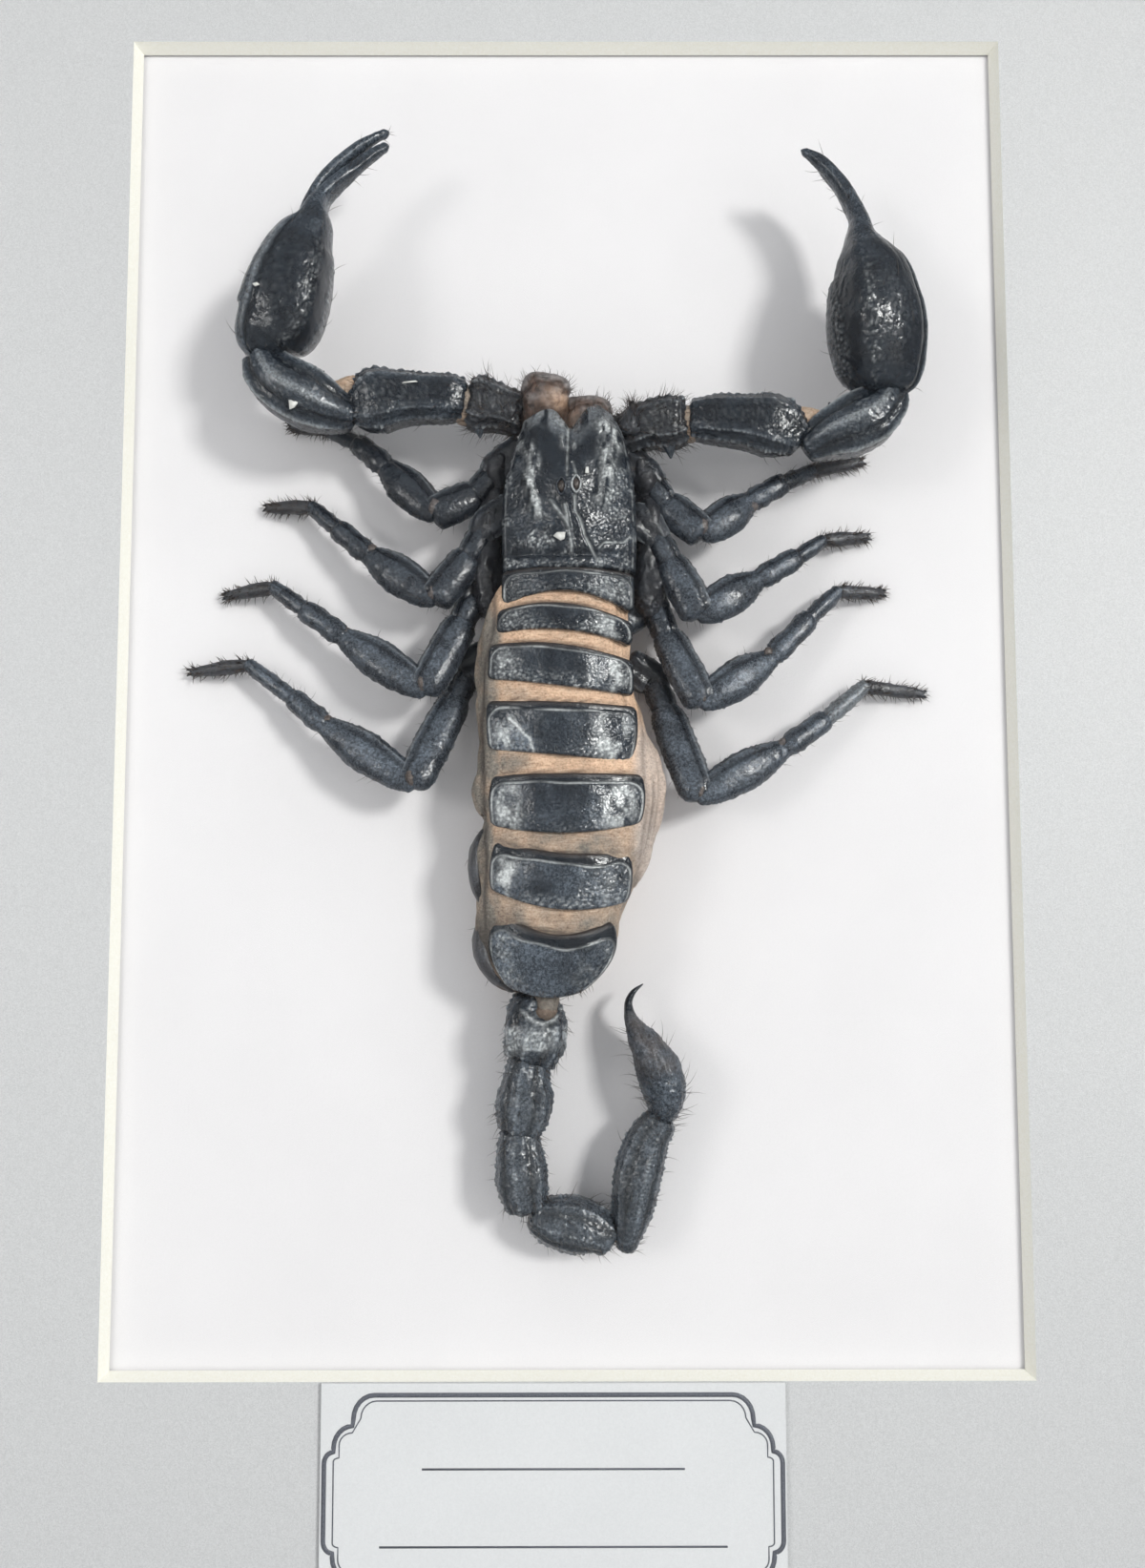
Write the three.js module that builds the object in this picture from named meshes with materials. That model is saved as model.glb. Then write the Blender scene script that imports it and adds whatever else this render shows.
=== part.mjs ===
// A forest scorpion mounted in a shadow-box picture frame.
// Millimetres. Everything is laid out flat with the picture facing up: x to the right,
// y up the picture, z out of the back towards the viewer. The last group stands it upright.

import * as THREE from 'three';

// Frame and sheets
const MAT_WIDTH = 203;           // 8 by 10 inch mat
const MAT_HEIGHT = 254;
const WINDOW_WIDTH = 100;        // mat window, measured at the backing card
const WINDOW_HEIGHT = 151;
const WINDOW_BEVEL = 0.8;        // how far the cut edge leans back
const FIT = 0.3;                 // clearance between pieces that lie against each other
const SHEET_PLAY = 0.5;          // play around the sheets in the rebate
const RAIL_FACE = 20;            // width of a rail seen from the front
const RAIL_LIP = 6;              // how far a rail's lip reaches over the glass
const RAIL_DEPTH = 40;
const LIP_THICKNESS = 4;
const RAIL_ROUND = 1.2;          // eased front edges
const BACK_RECESS = 3;           // the back board lies this deep in the frame
const BOARD_THICKNESS = 3;
const CARD_THICKNESS = 1.5;
const MAT_THICKNESS = 1.4;
const GLASS_THICKNESS = 2;
const SPACER_THICKNESS = 5;

// Label, fasteners and hanger
const LABEL_WIDTH = 50;
const LABEL_HEIGHT = 25;
const LABEL_THICKNESS = 0.3;
const LABEL_X = -1.5;            // the label sits a little left of the middle
const POINT_WIDTH = 6;           // framer's points that hold the back board
const POINT_LENGTH = 9;
const POINT_THICKNESS = 0.7;
const POINT_SPREAD = 80;         // from the middle of a long side to its points
const HANGER_WIDTH = 44;
const HANGER_HEIGHT = 9;
const HANGER_PLATE = 0.8;
const HANGER_STEP = 1.2;         // how far the toothed middle stands off the board
const HANGER_TEETH = 9;
const HANGER_TOOTH = 2;
const HANGER_FLANGE = 8;         // flat ends nailed to the board

// Heights and outside size that follow from those
const RAIL_REBATE = RAIL_FACE - RAIL_LIP;
const FRAME_WIDTH = MAT_WIDTH + 2 * (SHEET_PLAY + RAIL_REBATE);
const FRAME_HEIGHT = MAT_HEIGHT + 2 * (SHEET_PLAY + RAIL_REBATE);
const CARD_BACK = BACK_RECESS + BOARD_THICKNESS + FIT;
const CARD_FRONT = CARD_BACK + CARD_THICKNESS;
const MAT_BACK = CARD_FRONT + FIT;
const MAT_FRONT = MAT_BACK + MAT_THICKNESS;
const GLASS_FRONT = RAIL_DEPTH - LIP_THICKNESS - FIT;
const GLASS_BACK = GLASS_FRONT - GLASS_THICKNESS;

// Scorpion. Sections of a limb are [x, y, z, half width, half height], from the middle of the
// mat window, z from the backing card. Half width is measured across the limb in the picture.
const PEDIPALPS = {
  pedipalp_left_trochanter: [
    [-6.4, 29.4, 6.6, 2.0, 2.0], [-7.9, 29.9, 7.1, 2.5, 2.4], [-9.4, 30.2, 7.4, 2.9, 2.6],
    [-10.7, 30.4, 7.6, 2.4, 2.2],
  ],
  pedipalp_left_femur: [
    [-11.5, 30.6, 7.8, 2.0, 2.0], [-12.6, 30.7, 8.0, 2.4, 2.4], [-15.5, 30.7, 8.2, 2.5, 2.6],
    [-18.6, 30.6, 8.4, 2.9, 2.8], [-20.8, 30.3, 8.5, 3.3, 2.9], [-22.2, 29.8, 8.4, 2.8, 2.5],
    [-23.1, 29.6, 8.3, 1.5, 1.7],
  ],
  pedipalp_left_patella: [
    [-24.4, 28.8, 8.3, 1.4, 1.8], [-25.7, 29.1, 8.6, 2.4, 2.8], [-28.4, 30.3, 9.0, 3.1, 3.3],
    [-30.8, 31.6, 9.2, 3.0, 3.4], [-32.5, 33.3, 9.2, 2.6, 3.0], [-33.1, 34.6, 9.1, 1.9, 2.3],
  ],
  pincer_left_hand: [
    [-32.5, 35.7, 9.1, 1.9, 2.4], [-32.2, 36.9, 9.3, 3.8, 3.8], [-31.1, 39.3, 9.7, 4.9, 4.5],
    [-30.5, 42.4, 10.0, 5.1, 4.7], [-29.9, 45.7, 10.2, 4.8, 4.4], [-29.1, 48.0, 10.2, 3.6, 3.6],
    [-28.2, 50.2, 10.1, 2.0, 2.6], [-27.0, 51.8, 10.0, 1.1, 1.8], [-25.9, 53.2, 9.9, 0.6, 1.4],
    [-24.0, 55.5, 9.7, 0.6, 1.2], [-22.8, 56.7, 9.5, 0.6, 1.0], [-21.1, 58.0, 9.3, 0.4, 0.7],
    [-19.7, 58.9, 9.1, 0.1, 0.2],
  ],
  pincer_left_finger: [
    [-28.3, 53.1, 9.8, 0.3, 0.8], [-26.9, 54.5, 9.8, 0.5, 1.3], [-25.2, 56.6, 9.7, 0.6, 1.2],
    [-23.7, 58.1, 9.5, 0.6, 1.0], [-21.8, 59.4, 9.3, 0.5, 0.7], [-19.9, 60.5, 9.1, 0.1, 0.2],
  ],
  pedipalp_right_trochanter: [
    [7.4, 27.4, 6.6, 2.0, 2.0], [9.4, 28.0, 7.1, 2.5, 2.4], [11.4, 28.1, 7.4, 2.8, 2.6],
    [13.1, 28.3, 7.6, 2.2, 2.2],
  ],
  pedipalp_right_femur: [
    [13.9, 28.4, 7.8, 1.9, 2.0], [15.2, 28.3, 8.0, 2.3, 2.4], [18.0, 28.1, 8.3, 2.6, 2.7],
    [20.6, 27.8, 8.4, 2.9, 2.8], [22.7, 27.4, 8.5, 3.2, 2.8], [24.2, 26.7, 8.4, 2.7, 2.5],
    [25.3, 26.0, 8.3, 1.5, 1.7],
  ],
  pedipalp_right_patella: [
    [27.2, 25.4, 8.3, 1.4, 1.8], [28.6, 26.2, 8.6, 2.4, 2.8], [31.0, 27.1, 8.9, 3.0, 3.3],
    [33.2, 28.2, 9.1, 3.0, 3.3], [34.6, 29.6, 9.1, 2.5, 2.8], [35.0, 30.7, 9.1, 1.9, 2.2],
  ],
  pincer_right_hand: [
    [34.0, 31.9, 9.0, 2.3, 2.4], [33.9, 33.0, 9.2, 4.5, 3.8], [33.8, 35.3, 9.5, 5.5, 4.5],
    [33.8, 38.2, 9.8, 5.7, 4.9], [33.7, 41.0, 10.0, 5.4, 4.8], [33.6, 43.6, 10.2, 4.7, 4.4],
    [33.3, 45.8, 10.3, 3.7, 3.7], [33.0, 47.8, 10.3, 2.3, 2.8], [32.4, 50.0, 10.2, 1.4, 1.9],
    [31.5, 52.5, 10.1, 1.0, 1.2], [30.0, 55.2, 10.0, 0.8, 1.0], [28.0, 57.4, 9.8, 0.6, 0.8],
    [26.4, 58.7, 9.6, 0.2, 0.3],
  ],
  pincer_right_finger: [
    [33.0, 51.0, 7.2, 0.6, 0.6], [32.1, 53.3, 7.4, 0.8, 1.0], [30.6, 56.1, 7.5, 0.7, 1.0],
    [28.5, 58.4, 7.7, 0.5, 0.8], [27.0, 59.6, 7.9, 0.2, 0.3],
  ],
};

const TAIL = {
  tail_segment_1: [
    [-3.1, -35.3, 6.4, 2.3, 2.1], [-3.3, -36.6, 6.4, 3.4, 2.8], [-3.4, -39.2, 6.3, 3.5, 3.0],
    [-3.9, -41.0, 6.1, 2.5, 2.3],
  ],
  tail_segment_2: [
    [-4.0, -41.7, 5.9, 2.0, 2.1], [-4.3, -43.6, 5.7, 2.6, 2.7], [-4.5, -46.5, 5.5, 3.2, 2.9],
    [-4.9, -48.6, 5.3, 2.3, 2.3],
  ],
  tail_segment_3: [
    [-5.1, -49.4, 5.1, 1.9, 2.1], [-5.0, -52.0, 4.9, 2.7, 2.7], [-4.7, -55.0, 4.7, 2.8, 2.8],
    [-4.4, -56.9, 4.5, 1.9, 2.2],
  ],
  tail_segment_4: [
    [-3.2, -58.2, 4.4, 1.5, 1.9], [-1.3, -58.7, 4.3, 2.8, 2.6], [1.2, -59.2, 4.2, 3.1, 2.7],
    [3.1, -59.9, 4.2, 2.6, 2.5], [4.2, -60.7, 4.2, 1.4, 1.9],
  ],
  tail_segment_5: [
    [6.3, -61.0, 4.2, 0.8, 1.8], [6.8, -58.7, 4.3, 1.9, 2.4], [7.7, -53.4, 4.4, 2.6, 2.7],
    [8.9, -49.9, 4.6, 2.2, 2.4], [9.9, -48.4, 4.7, 1.6, 1.9],
  ],
  sting: [
    [10.3, -47.3, 4.8, 1.2, 1.8], [10.6, -45.4, 4.9, 2.3, 2.7], [9.8, -42.5, 5.0, 2.5, 2.9],
    [8.4, -40.0, 5.0, 1.9, 2.5], [6.9, -37.7, 4.9, 0.8, 1.4], [6.5, -35.6, 4.7, 0.4, 0.9],
    [7.1, -34.6, 4.5, 0.3, 0.6], [8.3, -33.6, 4.3, 0.1, 0.2],
  ],
};

const JAWS = {
  jaw_left: [
    [-2.1, 29.9, 9.6, 1.7, 1.6], [-2.1, 30.9, 9.9, 2.1, 2.1], [-2.1, 32.1, 10.0, 2.0, 2.0],
    [-2.0, 33.0, 9.9, 1.1, 1.2],
  ],
  jaw_right: [
    [2.6, 29.7, 9.4, 1.7, 1.5], [2.6, 30.3, 9.6, 2.1, 1.9], [2.6, 31.0, 9.5, 1.3, 1.2],
  ],
};

// Underside of the front body, where the legs and arms grow from, and the soft hind body
const COXAE = [
  [0.3, 28.4, 4.2, 2.2, 1.6], [0.3, 26.5, 4.2, 4.2, 2.6], [0.3, 23.0, 4.2, 5.0, 2.9],
  [0.3, 13.0, 4.2, 5.8, 2.9], [0.3, 11.4, 4.2, 5.6, 2.8],
];
const ABDOMEN = [
  [0.0, 10.2, 5.6, 6.6, 4.8], [-0.1, 8.6, 5.6, 7.4, 5.1], [-0.9, 4.6, 5.6, 8.6, 5.2],
  [-1.2, -1.1, 5.6, 8.8, 5.2], [-0.3, -7.4, 5.6, 9.4, 5.2], [0.2, -12.5, 5.6, 10.4, 5.2],
  [0.1, -16.8, 5.6, 9.5, 5.2], [-1.0, -21.0, 5.6, 9.0, 5.2], [-1.5, -25.0, 5.6, 8.1, 5.2],
  [-2.2, -28.6, 5.7, 7.4, 4.7], [-2.2, -31.7, 5.9, 6.1, 3.7], [-1.9, -34.0, 6.3, 3.9, 2.2],
];

// Back plates, each with its front and hind edge heights y at the left, middle and right, and
// its left and right side x at the front, middle and hind end
const PLATE_CREST = 12.2;        // top of the back along the middle
const PLATE_DROP = 2.0;          // how much lower a plate's sides are
const PLATE_THICKNESS = 0.8;
const TERGITES = [
  { front: [10.3, 10.5, 10.0], hind: [7.6, 8.8, 6.9], left: [-7.0, -7.0, -7.0], right: [7.3, 7.3, 7.3] },
  { front: [6.8, 7.1, 5.5], hind: [4.4, 4.6, 3.2], left: [-7.4, -7.5, -7.6], right: [7.1, 7.1, 7.1] },
  { front: [3.0, 2.7, 1.3], hind: [-0.4, -1.2, -2.0], left: [-8.3, -8.4, -8.5], right: [7.1, 7.2, 7.2] },
  { front: [-3.3, -3.9, -4.0], hind: [-8.4, -9.0, -9.6], left: [-8.5, -8.6, -8.3], right: [7.4, 7.6, 7.0] },
  { front: [-11.1, -11.4, -11.2], hind: [-16.5, -17.1, -16.2], left: [-7.9, -8.3, -8.0], right: [8.0, 8.4, 7.8] },
  { front: [-18.0, -19.5, -19.1], hind: [-23.8, -25.8, -25.1], left: [-7.5, -8.2, -8.0], right: [6.3, 6.6, 6.1] },
  {
    front: [-25.6, -28.0, -26.6], hind: [-33.7, -34.7, -34.4], left: [-7.2, -8.3, -6.2], right: [4.8, 4.9, 1.2],
    fall: 1.8,                   // the last plate slopes down to the tail
  },
];

// Front shield: front edge height y across its width, from -1 at the left to 1 at the right
const CARAPACE_FRONT = [
  [-1, 28.4], [-0.75, 29.4], [-0.45, 29.3], [-0.15, 27.4], [0, 26.5], [0.15, 27.4], [0.4, 29.1],
  [0.7, 29.3], [1, 27.9],
];
const CARAPACE_ROWS = [          // [share of the length from the hind edge, left x, right x, crest z]
  [0, -6.9, 7.5, 12.4], [0.25, -7.0, 7.6, 12.8], [0.5, -6.8, 7.4, 13.2], [0.75, -5.8, 6.8, 13.0],
  [0.92, -4.9, 6.1, 12.2], [1, -4.7, 5.6, 11.2],
];
const CARAPACE_HIND = 10.9;
const CARAPACE_UNDER = 7.5;      // height of its underside
const CARAPACE_DROP = 2.4;

// Legs: places of the joints from the hip to the foot's tip
const LEGS = {
  leg_left_1: [
    [-7.9, 23.4, 5.5], [-10.2, 20.6, 5.6], [-14.6, 18.3, 6.2], [-20.3, 24.2, 4.6], [-23.7, 27.3, 3.4],
    [-27.1, 29.2, 2.4], [-31.4, 30.0, 1.0],
  ],
  leg_left_2: [
    [-9.1, 16.8, 5.5], [-10.8, 13.5, 5.8], [-14.5, 8.6, 6.6], [-22.1, 14.1, 4.8], [-25.7, 17.3, 3.6],
    [-28.9, 20.1, 2.6], [-34.0, 20.5, 1.0],
  ],
  leg_left_3: [
    [-10.2, 9.6, 3.8], [-11.6, 6.5, 4.8], [-15.5, -1.5, 6.8], [-24.8, 4.8, 4.8], [-29.3, 8.1, 3.6],
    [-33.1, 10.9, 2.6], [-38.5, 10.3, 1.0],
  ],
  leg_left_4: [
    [-11.4, 1.0, 2.4], [-12.3, -1.8, 3.4], [-16.7, -11.8, 7.0], [-26.8, -5.0, 4.8], [-30.5, -1.9, 3.6],
    [-35.7, 2.0, 2.6], [-42.3, 1.5, 1.0],
  ],
  leg_right_1: [
    [9.2, 22.3, 5.5], [11.1, 19.5, 5.6], [15.0, 16.1, 6.2], [20.5, 20.1, 4.6], [24.5, 22.6, 3.4],
    [27.9, 24.3, 2.4], [33.6, 25.8, 1.0],
  ],
  leg_right_2: [
    [9.8, 16.1, 5.5], [11.5, 13.0, 5.8], [14.5, 6.9, 6.6], [21.4, 11.2, 4.8], [25.9, 14.0, 3.6],
    [29.0, 16.2, 2.6], [34.1, 17.0, 1.0],
  ],
  leg_right_3: [
    [9.7, 8.7, 3.8], [11.1, 4.9, 4.8], [14.7, -2.9, 6.8], [22.7, 2.4, 4.8], [27.2, 7.0, 3.6],
    [30.6, 10.3, 2.6], [35.7, 10.5, 1.0],
  ],
  leg_right_4: [
    [9.8, -0.1, 2.4], [10.9, -3.1, 3.4], [14.3, -13.2, 7.0], [24.1, -7.7, 4.8], [28.8, -4.4, 3.6],
    [33.4, -0.5, 2.6], [40.0, -1.1, 1.0],
  ],
};
// Greatest half width and half height of each leg segment, hip to foot
const LEG_SEGMENTS = [
  [1.5, 1.3], [2.2, 1.4], [1.8, 1.3], [1.15, 1.0], [0.95, 0.85], [0.65, 0.6],
];
const LEG_SWELL = [[0.2, 0.85], [0.55, 1], [0.85, 0.85]];    // [share of a segment, share of its width]
const LEG_PINCH = 0.7;           // width left at a joint
const LEG_TIP = 0.25;

const LIMB_SIDES = 10;
const LEG_SIDES = 8;
const BODY_SIDES = 16;
const PLATE_COLUMNS = 8;
const PLATE_ROWS = 2;

const cuticle = new THREE.MeshStandardMaterial({ color: 0x23282f, roughness: 0.4 });
const membrane = new THREE.MeshStandardMaterial({ color: 0xb98f6c, roughness: 0.8 });
const jawHorn = new THREE.MeshStandardMaterial({ color: 0x6f5648, roughness: 0.4 });
const blackWood = new THREE.MeshStandardMaterial({ color: 0x1c1b1a, roughness: 0.5 });
const matPaper = new THREE.MeshStandardMaterial({ color: 0xcfcfd2, roughness: 0.8 });
const cardPaper = new THREE.MeshStandardMaterial({ color: 0xeae6ea, roughness: 0.9 });
const labelPaper = new THREE.MeshStandardMaterial({ color: 0xf2f2f2, roughness: 0.8 });
const foamStrip = new THREE.MeshStandardMaterial({ color: 0x222222, roughness: 0.9 });
const hardboard = new THREE.MeshStandardMaterial({ color: 0x8a6a4a, roughness: 0.8 });
const zinc = new THREE.MeshStandardMaterial({ color: 0xa9a9a6, roughness: 0.45, metalness: 0.9 });
const clearGlass = new THREE.MeshStandardMaterial({
  color: 0xffffff, roughness: 0.05, transparent: true, opacity: 0.15,
});

function named(name, geometry, material) {
  const mesh = new THREE.Mesh(geometry, material);
  mesh.name = name;
  return mesh;
}

function meshFrom(points, triangles) {
  const geometry = new THREE.BufferGeometry();
  geometry.setAttribute('position', new THREE.Float32BufferAttribute(points, 3));
  geometry.setIndex(triangles);
  return geometry;
}

// Value at t in 0..1 of the parabola through the values at 0, a half and 1
function through([start, middle, end], t) {
  return start * (1 - t) * (1 - 2 * t) + middle * 4 * t * (1 - t) + end * t * (2 * t - 1);
}

function box(width, height, back, front) {
  return new THREE.BoxGeometry(width, height, front - back).translate(0, 0, (back + front) / 2);
}

// A closed tube with oval rings across a chain of sections
function loft(sections, sides) {
  const points = [];
  const triangles = [];
  const centres = sections.map(([x, y, z]) => new THREE.Vector3(x, y, z));
  const last = sections.length - 1;
  sections.forEach(([, , , halfWidth, halfHeight], i) => {
    const before = centres[Math.max(i - 1, 0)];
    const after = centres[Math.min(i + 1, last)];
    const along = after.clone().sub(before).normalize();
    const across = new THREE.Vector3(along.y, -along.x, 0).normalize();
    const up = across.clone().cross(along);
    for (let j = 0; j < sides; j += 1) {
      const angle = (2 * Math.PI * j) / sides;
      const corner = centres[i].clone()
        .addScaledVector(across, halfWidth * Math.cos(angle))
        .addScaledVector(up, halfHeight * Math.sin(angle));
      points.push(...corner.toArray());
    }
  });
  for (let i = 0; i < last; i += 1) {
    for (let j = 0; j < sides; j += 1) {
      const here = i * sides + j;
      const beside = i * sides + ((j + 1) % sides);
      triangles.push(here, here + sides, beside, beside, here + sides, beside + sides);
    }
  }
  const start = sections.length * sides;
  const end = start + 1;
  points.push(...centres[0].toArray(), ...centres[last].toArray());
  for (let j = 0; j < sides; j += 1) {
    const next = (j + 1) % sides;
    triangles.push(start, j, next);
    triangles.push(end, last * sides + next, last * sides + j);
  }
  return meshFrom(points, triangles);
}

// A closed slab between an upper and an under surface, both given over columns and rows
function slab(columns, rows, upper, under) {
  const points = [];
  const triangles = [];
  const width = columns + 1;
  const layer = width * (rows + 1);
  for (const surface of [upper, under]) {
    for (let r = 0; r <= rows; r += 1) {
      for (let c = 0; c <= columns; c += 1) {
        points.push(...surface(c, r));
      }
    }
  }
  for (let r = 0; r < rows; r += 1) {
    for (let c = 0; c < columns; c += 1) {
      const a = r * width + c;
      const b = a + 1;
      const d = a + width;
      const e = d + 1;
      triangles.push(a, b, e, a, e, d);
      triangles.push(layer + a, layer + e, layer + b, layer + a, layer + d, layer + e);
    }
  }
  const rim = [];
  for (let c = 0; c < columns; c += 1) rim.push(c);
  for (let r = 0; r < rows; r += 1) rim.push(r * width + columns);
  for (let c = columns; c > 0; c -= 1) rim.push(rows * width + c);
  for (let r = rows; r > 0; r -= 1) rim.push(r * width);
  rim.forEach((corner, i) => {
    const next = rim[(i + 1) % rim.length];
    triangles.push(corner, corner + layer, next + layer, corner, next + layer, next);
  });
  return meshFrom(points, triangles);
}

function tergite({ front, hind, left, right, fall = 0 }) {
  const surface = (lower) => (c, r) => {
    const across = c / PLATE_COLUMNS;
    const along = 1 - r / PLATE_ROWS;
    const side = 2 * across - 1;
    const x = THREE.MathUtils.lerp(through(left, along), through(right, along), across);
    const y = THREE.MathUtils.lerp(through(front, across), through(hind, across), along);
    const z = PLATE_CREST - PLATE_DROP * side * side - fall * along - lower;
    return [x, y, z];
  };
  return slab(PLATE_COLUMNS, PLATE_ROWS, surface(0), surface(PLATE_THICKNESS));
}

function carapace() {
  const plan = (c, r) => {
    const [side, front] = CARAPACE_FRONT[c];
    const [share, left, right, crest] = CARAPACE_ROWS[r];
    const x = THREE.MathUtils.lerp(left, right, (side + 1) / 2);
    const y = THREE.MathUtils.lerp(CARAPACE_HIND, front, share);
    return [x, y, crest - CARAPACE_DROP * side * side];
  };
  const flat = (c, r) => {
    const [x, y] = plan(c, r);
    return [x, y, CARAPACE_UNDER];
  };
  return slab(CARAPACE_FRONT.length - 1, CARAPACE_ROWS.length - 1, plan, flat);
}

function leg(joints) {
  const sections = [];
  LEG_SEGMENTS.forEach(([halfWidth, halfHeight], i) => {
    const from = joints[i];
    const to = joints[i + 1];
    const narrow = i === 0 ? 1 : LEG_PINCH;
    sections.push([...from, halfWidth * narrow, halfHeight * narrow]);
    for (const [share, swell] of LEG_SWELL) {
      const place = from.map((value, axis) => THREE.MathUtils.lerp(value, to[axis], share));
      sections.push([...place, halfWidth * swell, halfHeight * swell]);
    }
  });
  sections.push([...joints[joints.length - 1], LEG_TIP, LEG_TIP]);
  return loft(sections, LEG_SIDES);
}

// One rail along x with mitred ends, its outer side on y = 0 and its back on z = 0
function rail(length) {
  const profile = new THREE.Shape();
  profile.moveTo(0, 0);
  profile.lineTo(RAIL_REBATE, 0);
  profile.lineTo(RAIL_REBATE, RAIL_DEPTH - LIP_THICKNESS);
  profile.lineTo(RAIL_FACE, RAIL_DEPTH - LIP_THICKNESS);
  profile.absarc(RAIL_FACE - RAIL_ROUND, RAIL_DEPTH - RAIL_ROUND, RAIL_ROUND, 0, Math.PI / 2);
  profile.absarc(RAIL_ROUND, RAIL_DEPTH - RAIL_ROUND, RAIL_ROUND, Math.PI / 2, Math.PI);
  const geometry = new THREE.ExtrudeGeometry(profile, { depth: 1, bevelEnabled: false, curveSegments: 3 });
  const place = geometry.attributes.position;
  for (let i = 0; i < place.count; i += 1) {
    const inset = place.getX(i);
    const height = place.getY(i);
    const end = place.getZ(i) > 0.5 ? 1 : -1;
    place.setXYZ(i, end * (length / 2 - inset - FIT / 2), inset, height);
  }
  return geometry;
}

function matBoard() {
  const outline = new THREE.Shape();
  const halfWidth = MAT_WIDTH / 2;
  const halfHeight = MAT_HEIGHT / 2;
  outline.moveTo(-halfWidth, -halfHeight);
  outline.lineTo(halfWidth, -halfHeight);
  outline.lineTo(halfWidth, halfHeight);
  outline.lineTo(-halfWidth, halfHeight);
  const hole = new THREE.Path();
  const x = WINDOW_WIDTH / 2;
  const y = WINDOW_HEIGHT / 2;
  hole.moveTo(-x, -y);
  hole.lineTo(-x, y);
  hole.lineTo(x, y);
  hole.lineTo(x, -y);
  outline.holes.push(hole);
  const geometry = new THREE.ExtrudeGeometry(outline, { depth: MAT_THICKNESS, bevelEnabled: false });
  const place = geometry.attributes.position;
  for (let i = 0; i < place.count; i += 1) {
    const inWindow = Math.abs(place.getX(i)) <= x && Math.abs(place.getY(i)) <= y;
    if (inWindow && place.getZ(i) > MAT_THICKNESS / 2) {
      place.setX(i, place.getX(i) + Math.sign(place.getX(i)) * WINDOW_BEVEL);
      place.setY(i, place.getY(i) + Math.sign(place.getY(i)) * WINDOW_BEVEL);
    }
  }
  return geometry;
}

// Toothed strip whose middle is stepped off the board between two flat ends
function sawtoothHanger() {
  const half = HANGER_WIDTH / 2;
  const flat = half - HANGER_FLANGE;
  const ramp = flat - HANGER_STEP;
  const pitch = (2 * ramp) / HANGER_TEETH;
  const columns = [[-half, 0, 0], [-flat, 0, 0]];      // [x, lower edge, rise off the board]
  for (let i = 0; i < HANGER_TEETH; i += 1) {
    columns.push([-ramp + i * pitch, 0, HANGER_STEP]);
    columns.push([-ramp + (i + 0.5) * pitch, HANGER_TOOTH, HANGER_STEP]);
  }
  columns.push([ramp, 0, HANGER_STEP], [flat, 0, 0], [half, 0, 0]);
  const surface = (lift) => (c, r) => {
    const [x, lower, rise] = columns[c];
    return [x, r === 0 ? lower : HANGER_HEIGHT, rise + lift];
  };
  return slab(columns.length - 1, 1, surface(HANGER_PLATE), surface(0));
}

function scorpion() {
  const group = new THREE.Group();
  for (const [name, sections] of Object.entries({ ...PEDIPALPS, ...TAIL })) {
    group.add(named(name, loft(sections, LIMB_SIDES), cuticle));
  }
  for (const [name, sections] of Object.entries(JAWS)) {
    group.add(named(name, loft(sections, LIMB_SIDES), jawHorn));
  }
  for (const [name, joints] of Object.entries(LEGS)) {
    group.add(named(name, leg(joints), cuticle));
  }
  TERGITES.forEach((plate, i) => group.add(named(`tergite_${i + 1}`, tergite(plate), cuticle)));
  group.add(named('carapace', carapace(), cuticle));
  group.add(named('coxae', loft(COXAE, BODY_SIDES), cuticle));
  group.add(named('abdomen', loft(ABDOMEN, BODY_SIDES), membrane));
  group.position.z = CARD_FRONT;
  return group;
}

function frameRails() {
  const group = new THREE.Group();
  const sides = [
    ['rail_bottom', FRAME_WIDTH, 0, -FRAME_HEIGHT / 2, 0],
    ['rail_right', FRAME_HEIGHT, FRAME_WIDTH / 2, 0, Math.PI / 2],
    ['rail_top', FRAME_WIDTH, 0, FRAME_HEIGHT / 2, Math.PI],
    ['rail_left', FRAME_HEIGHT, -FRAME_WIDTH / 2, 0, -Math.PI / 2],
  ];
  for (const [name, length, x, y, turn] of sides) {
    const mesh = named(name, rail(length), blackWood);
    mesh.position.set(x, y, 0);
    mesh.rotation.z = turn;
    group.add(mesh);
  }
  return group;
}

function spacers() {
  const group = new THREE.Group();
  const back = MAT_FRONT + FIT;
  const front = GLASS_BACK - FIT;
  const beside = MAT_WIDTH - 2 * (SPACER_THICKNESS + FIT);
  const upright = box(SPACER_THICKNESS, MAT_HEIGHT, back, front);
  const level = box(beside, SPACER_THICKNESS, back, front);
  const x = (MAT_WIDTH - SPACER_THICKNESS) / 2;
  const y = (MAT_HEIGHT - SPACER_THICKNESS) / 2;
  const strips = [
    ['spacer_left', upright, -x, 0], ['spacer_right', upright, x, 0],
    ['spacer_bottom', level, 0, -y], ['spacer_top', level, 0, y],
  ];
  for (const [name, shape, atX, atY] of strips) {
    const mesh = named(name, shape, foamStrip);
    mesh.position.set(atX, atY, 0);
    group.add(mesh);
  }
  return group;
}

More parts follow.
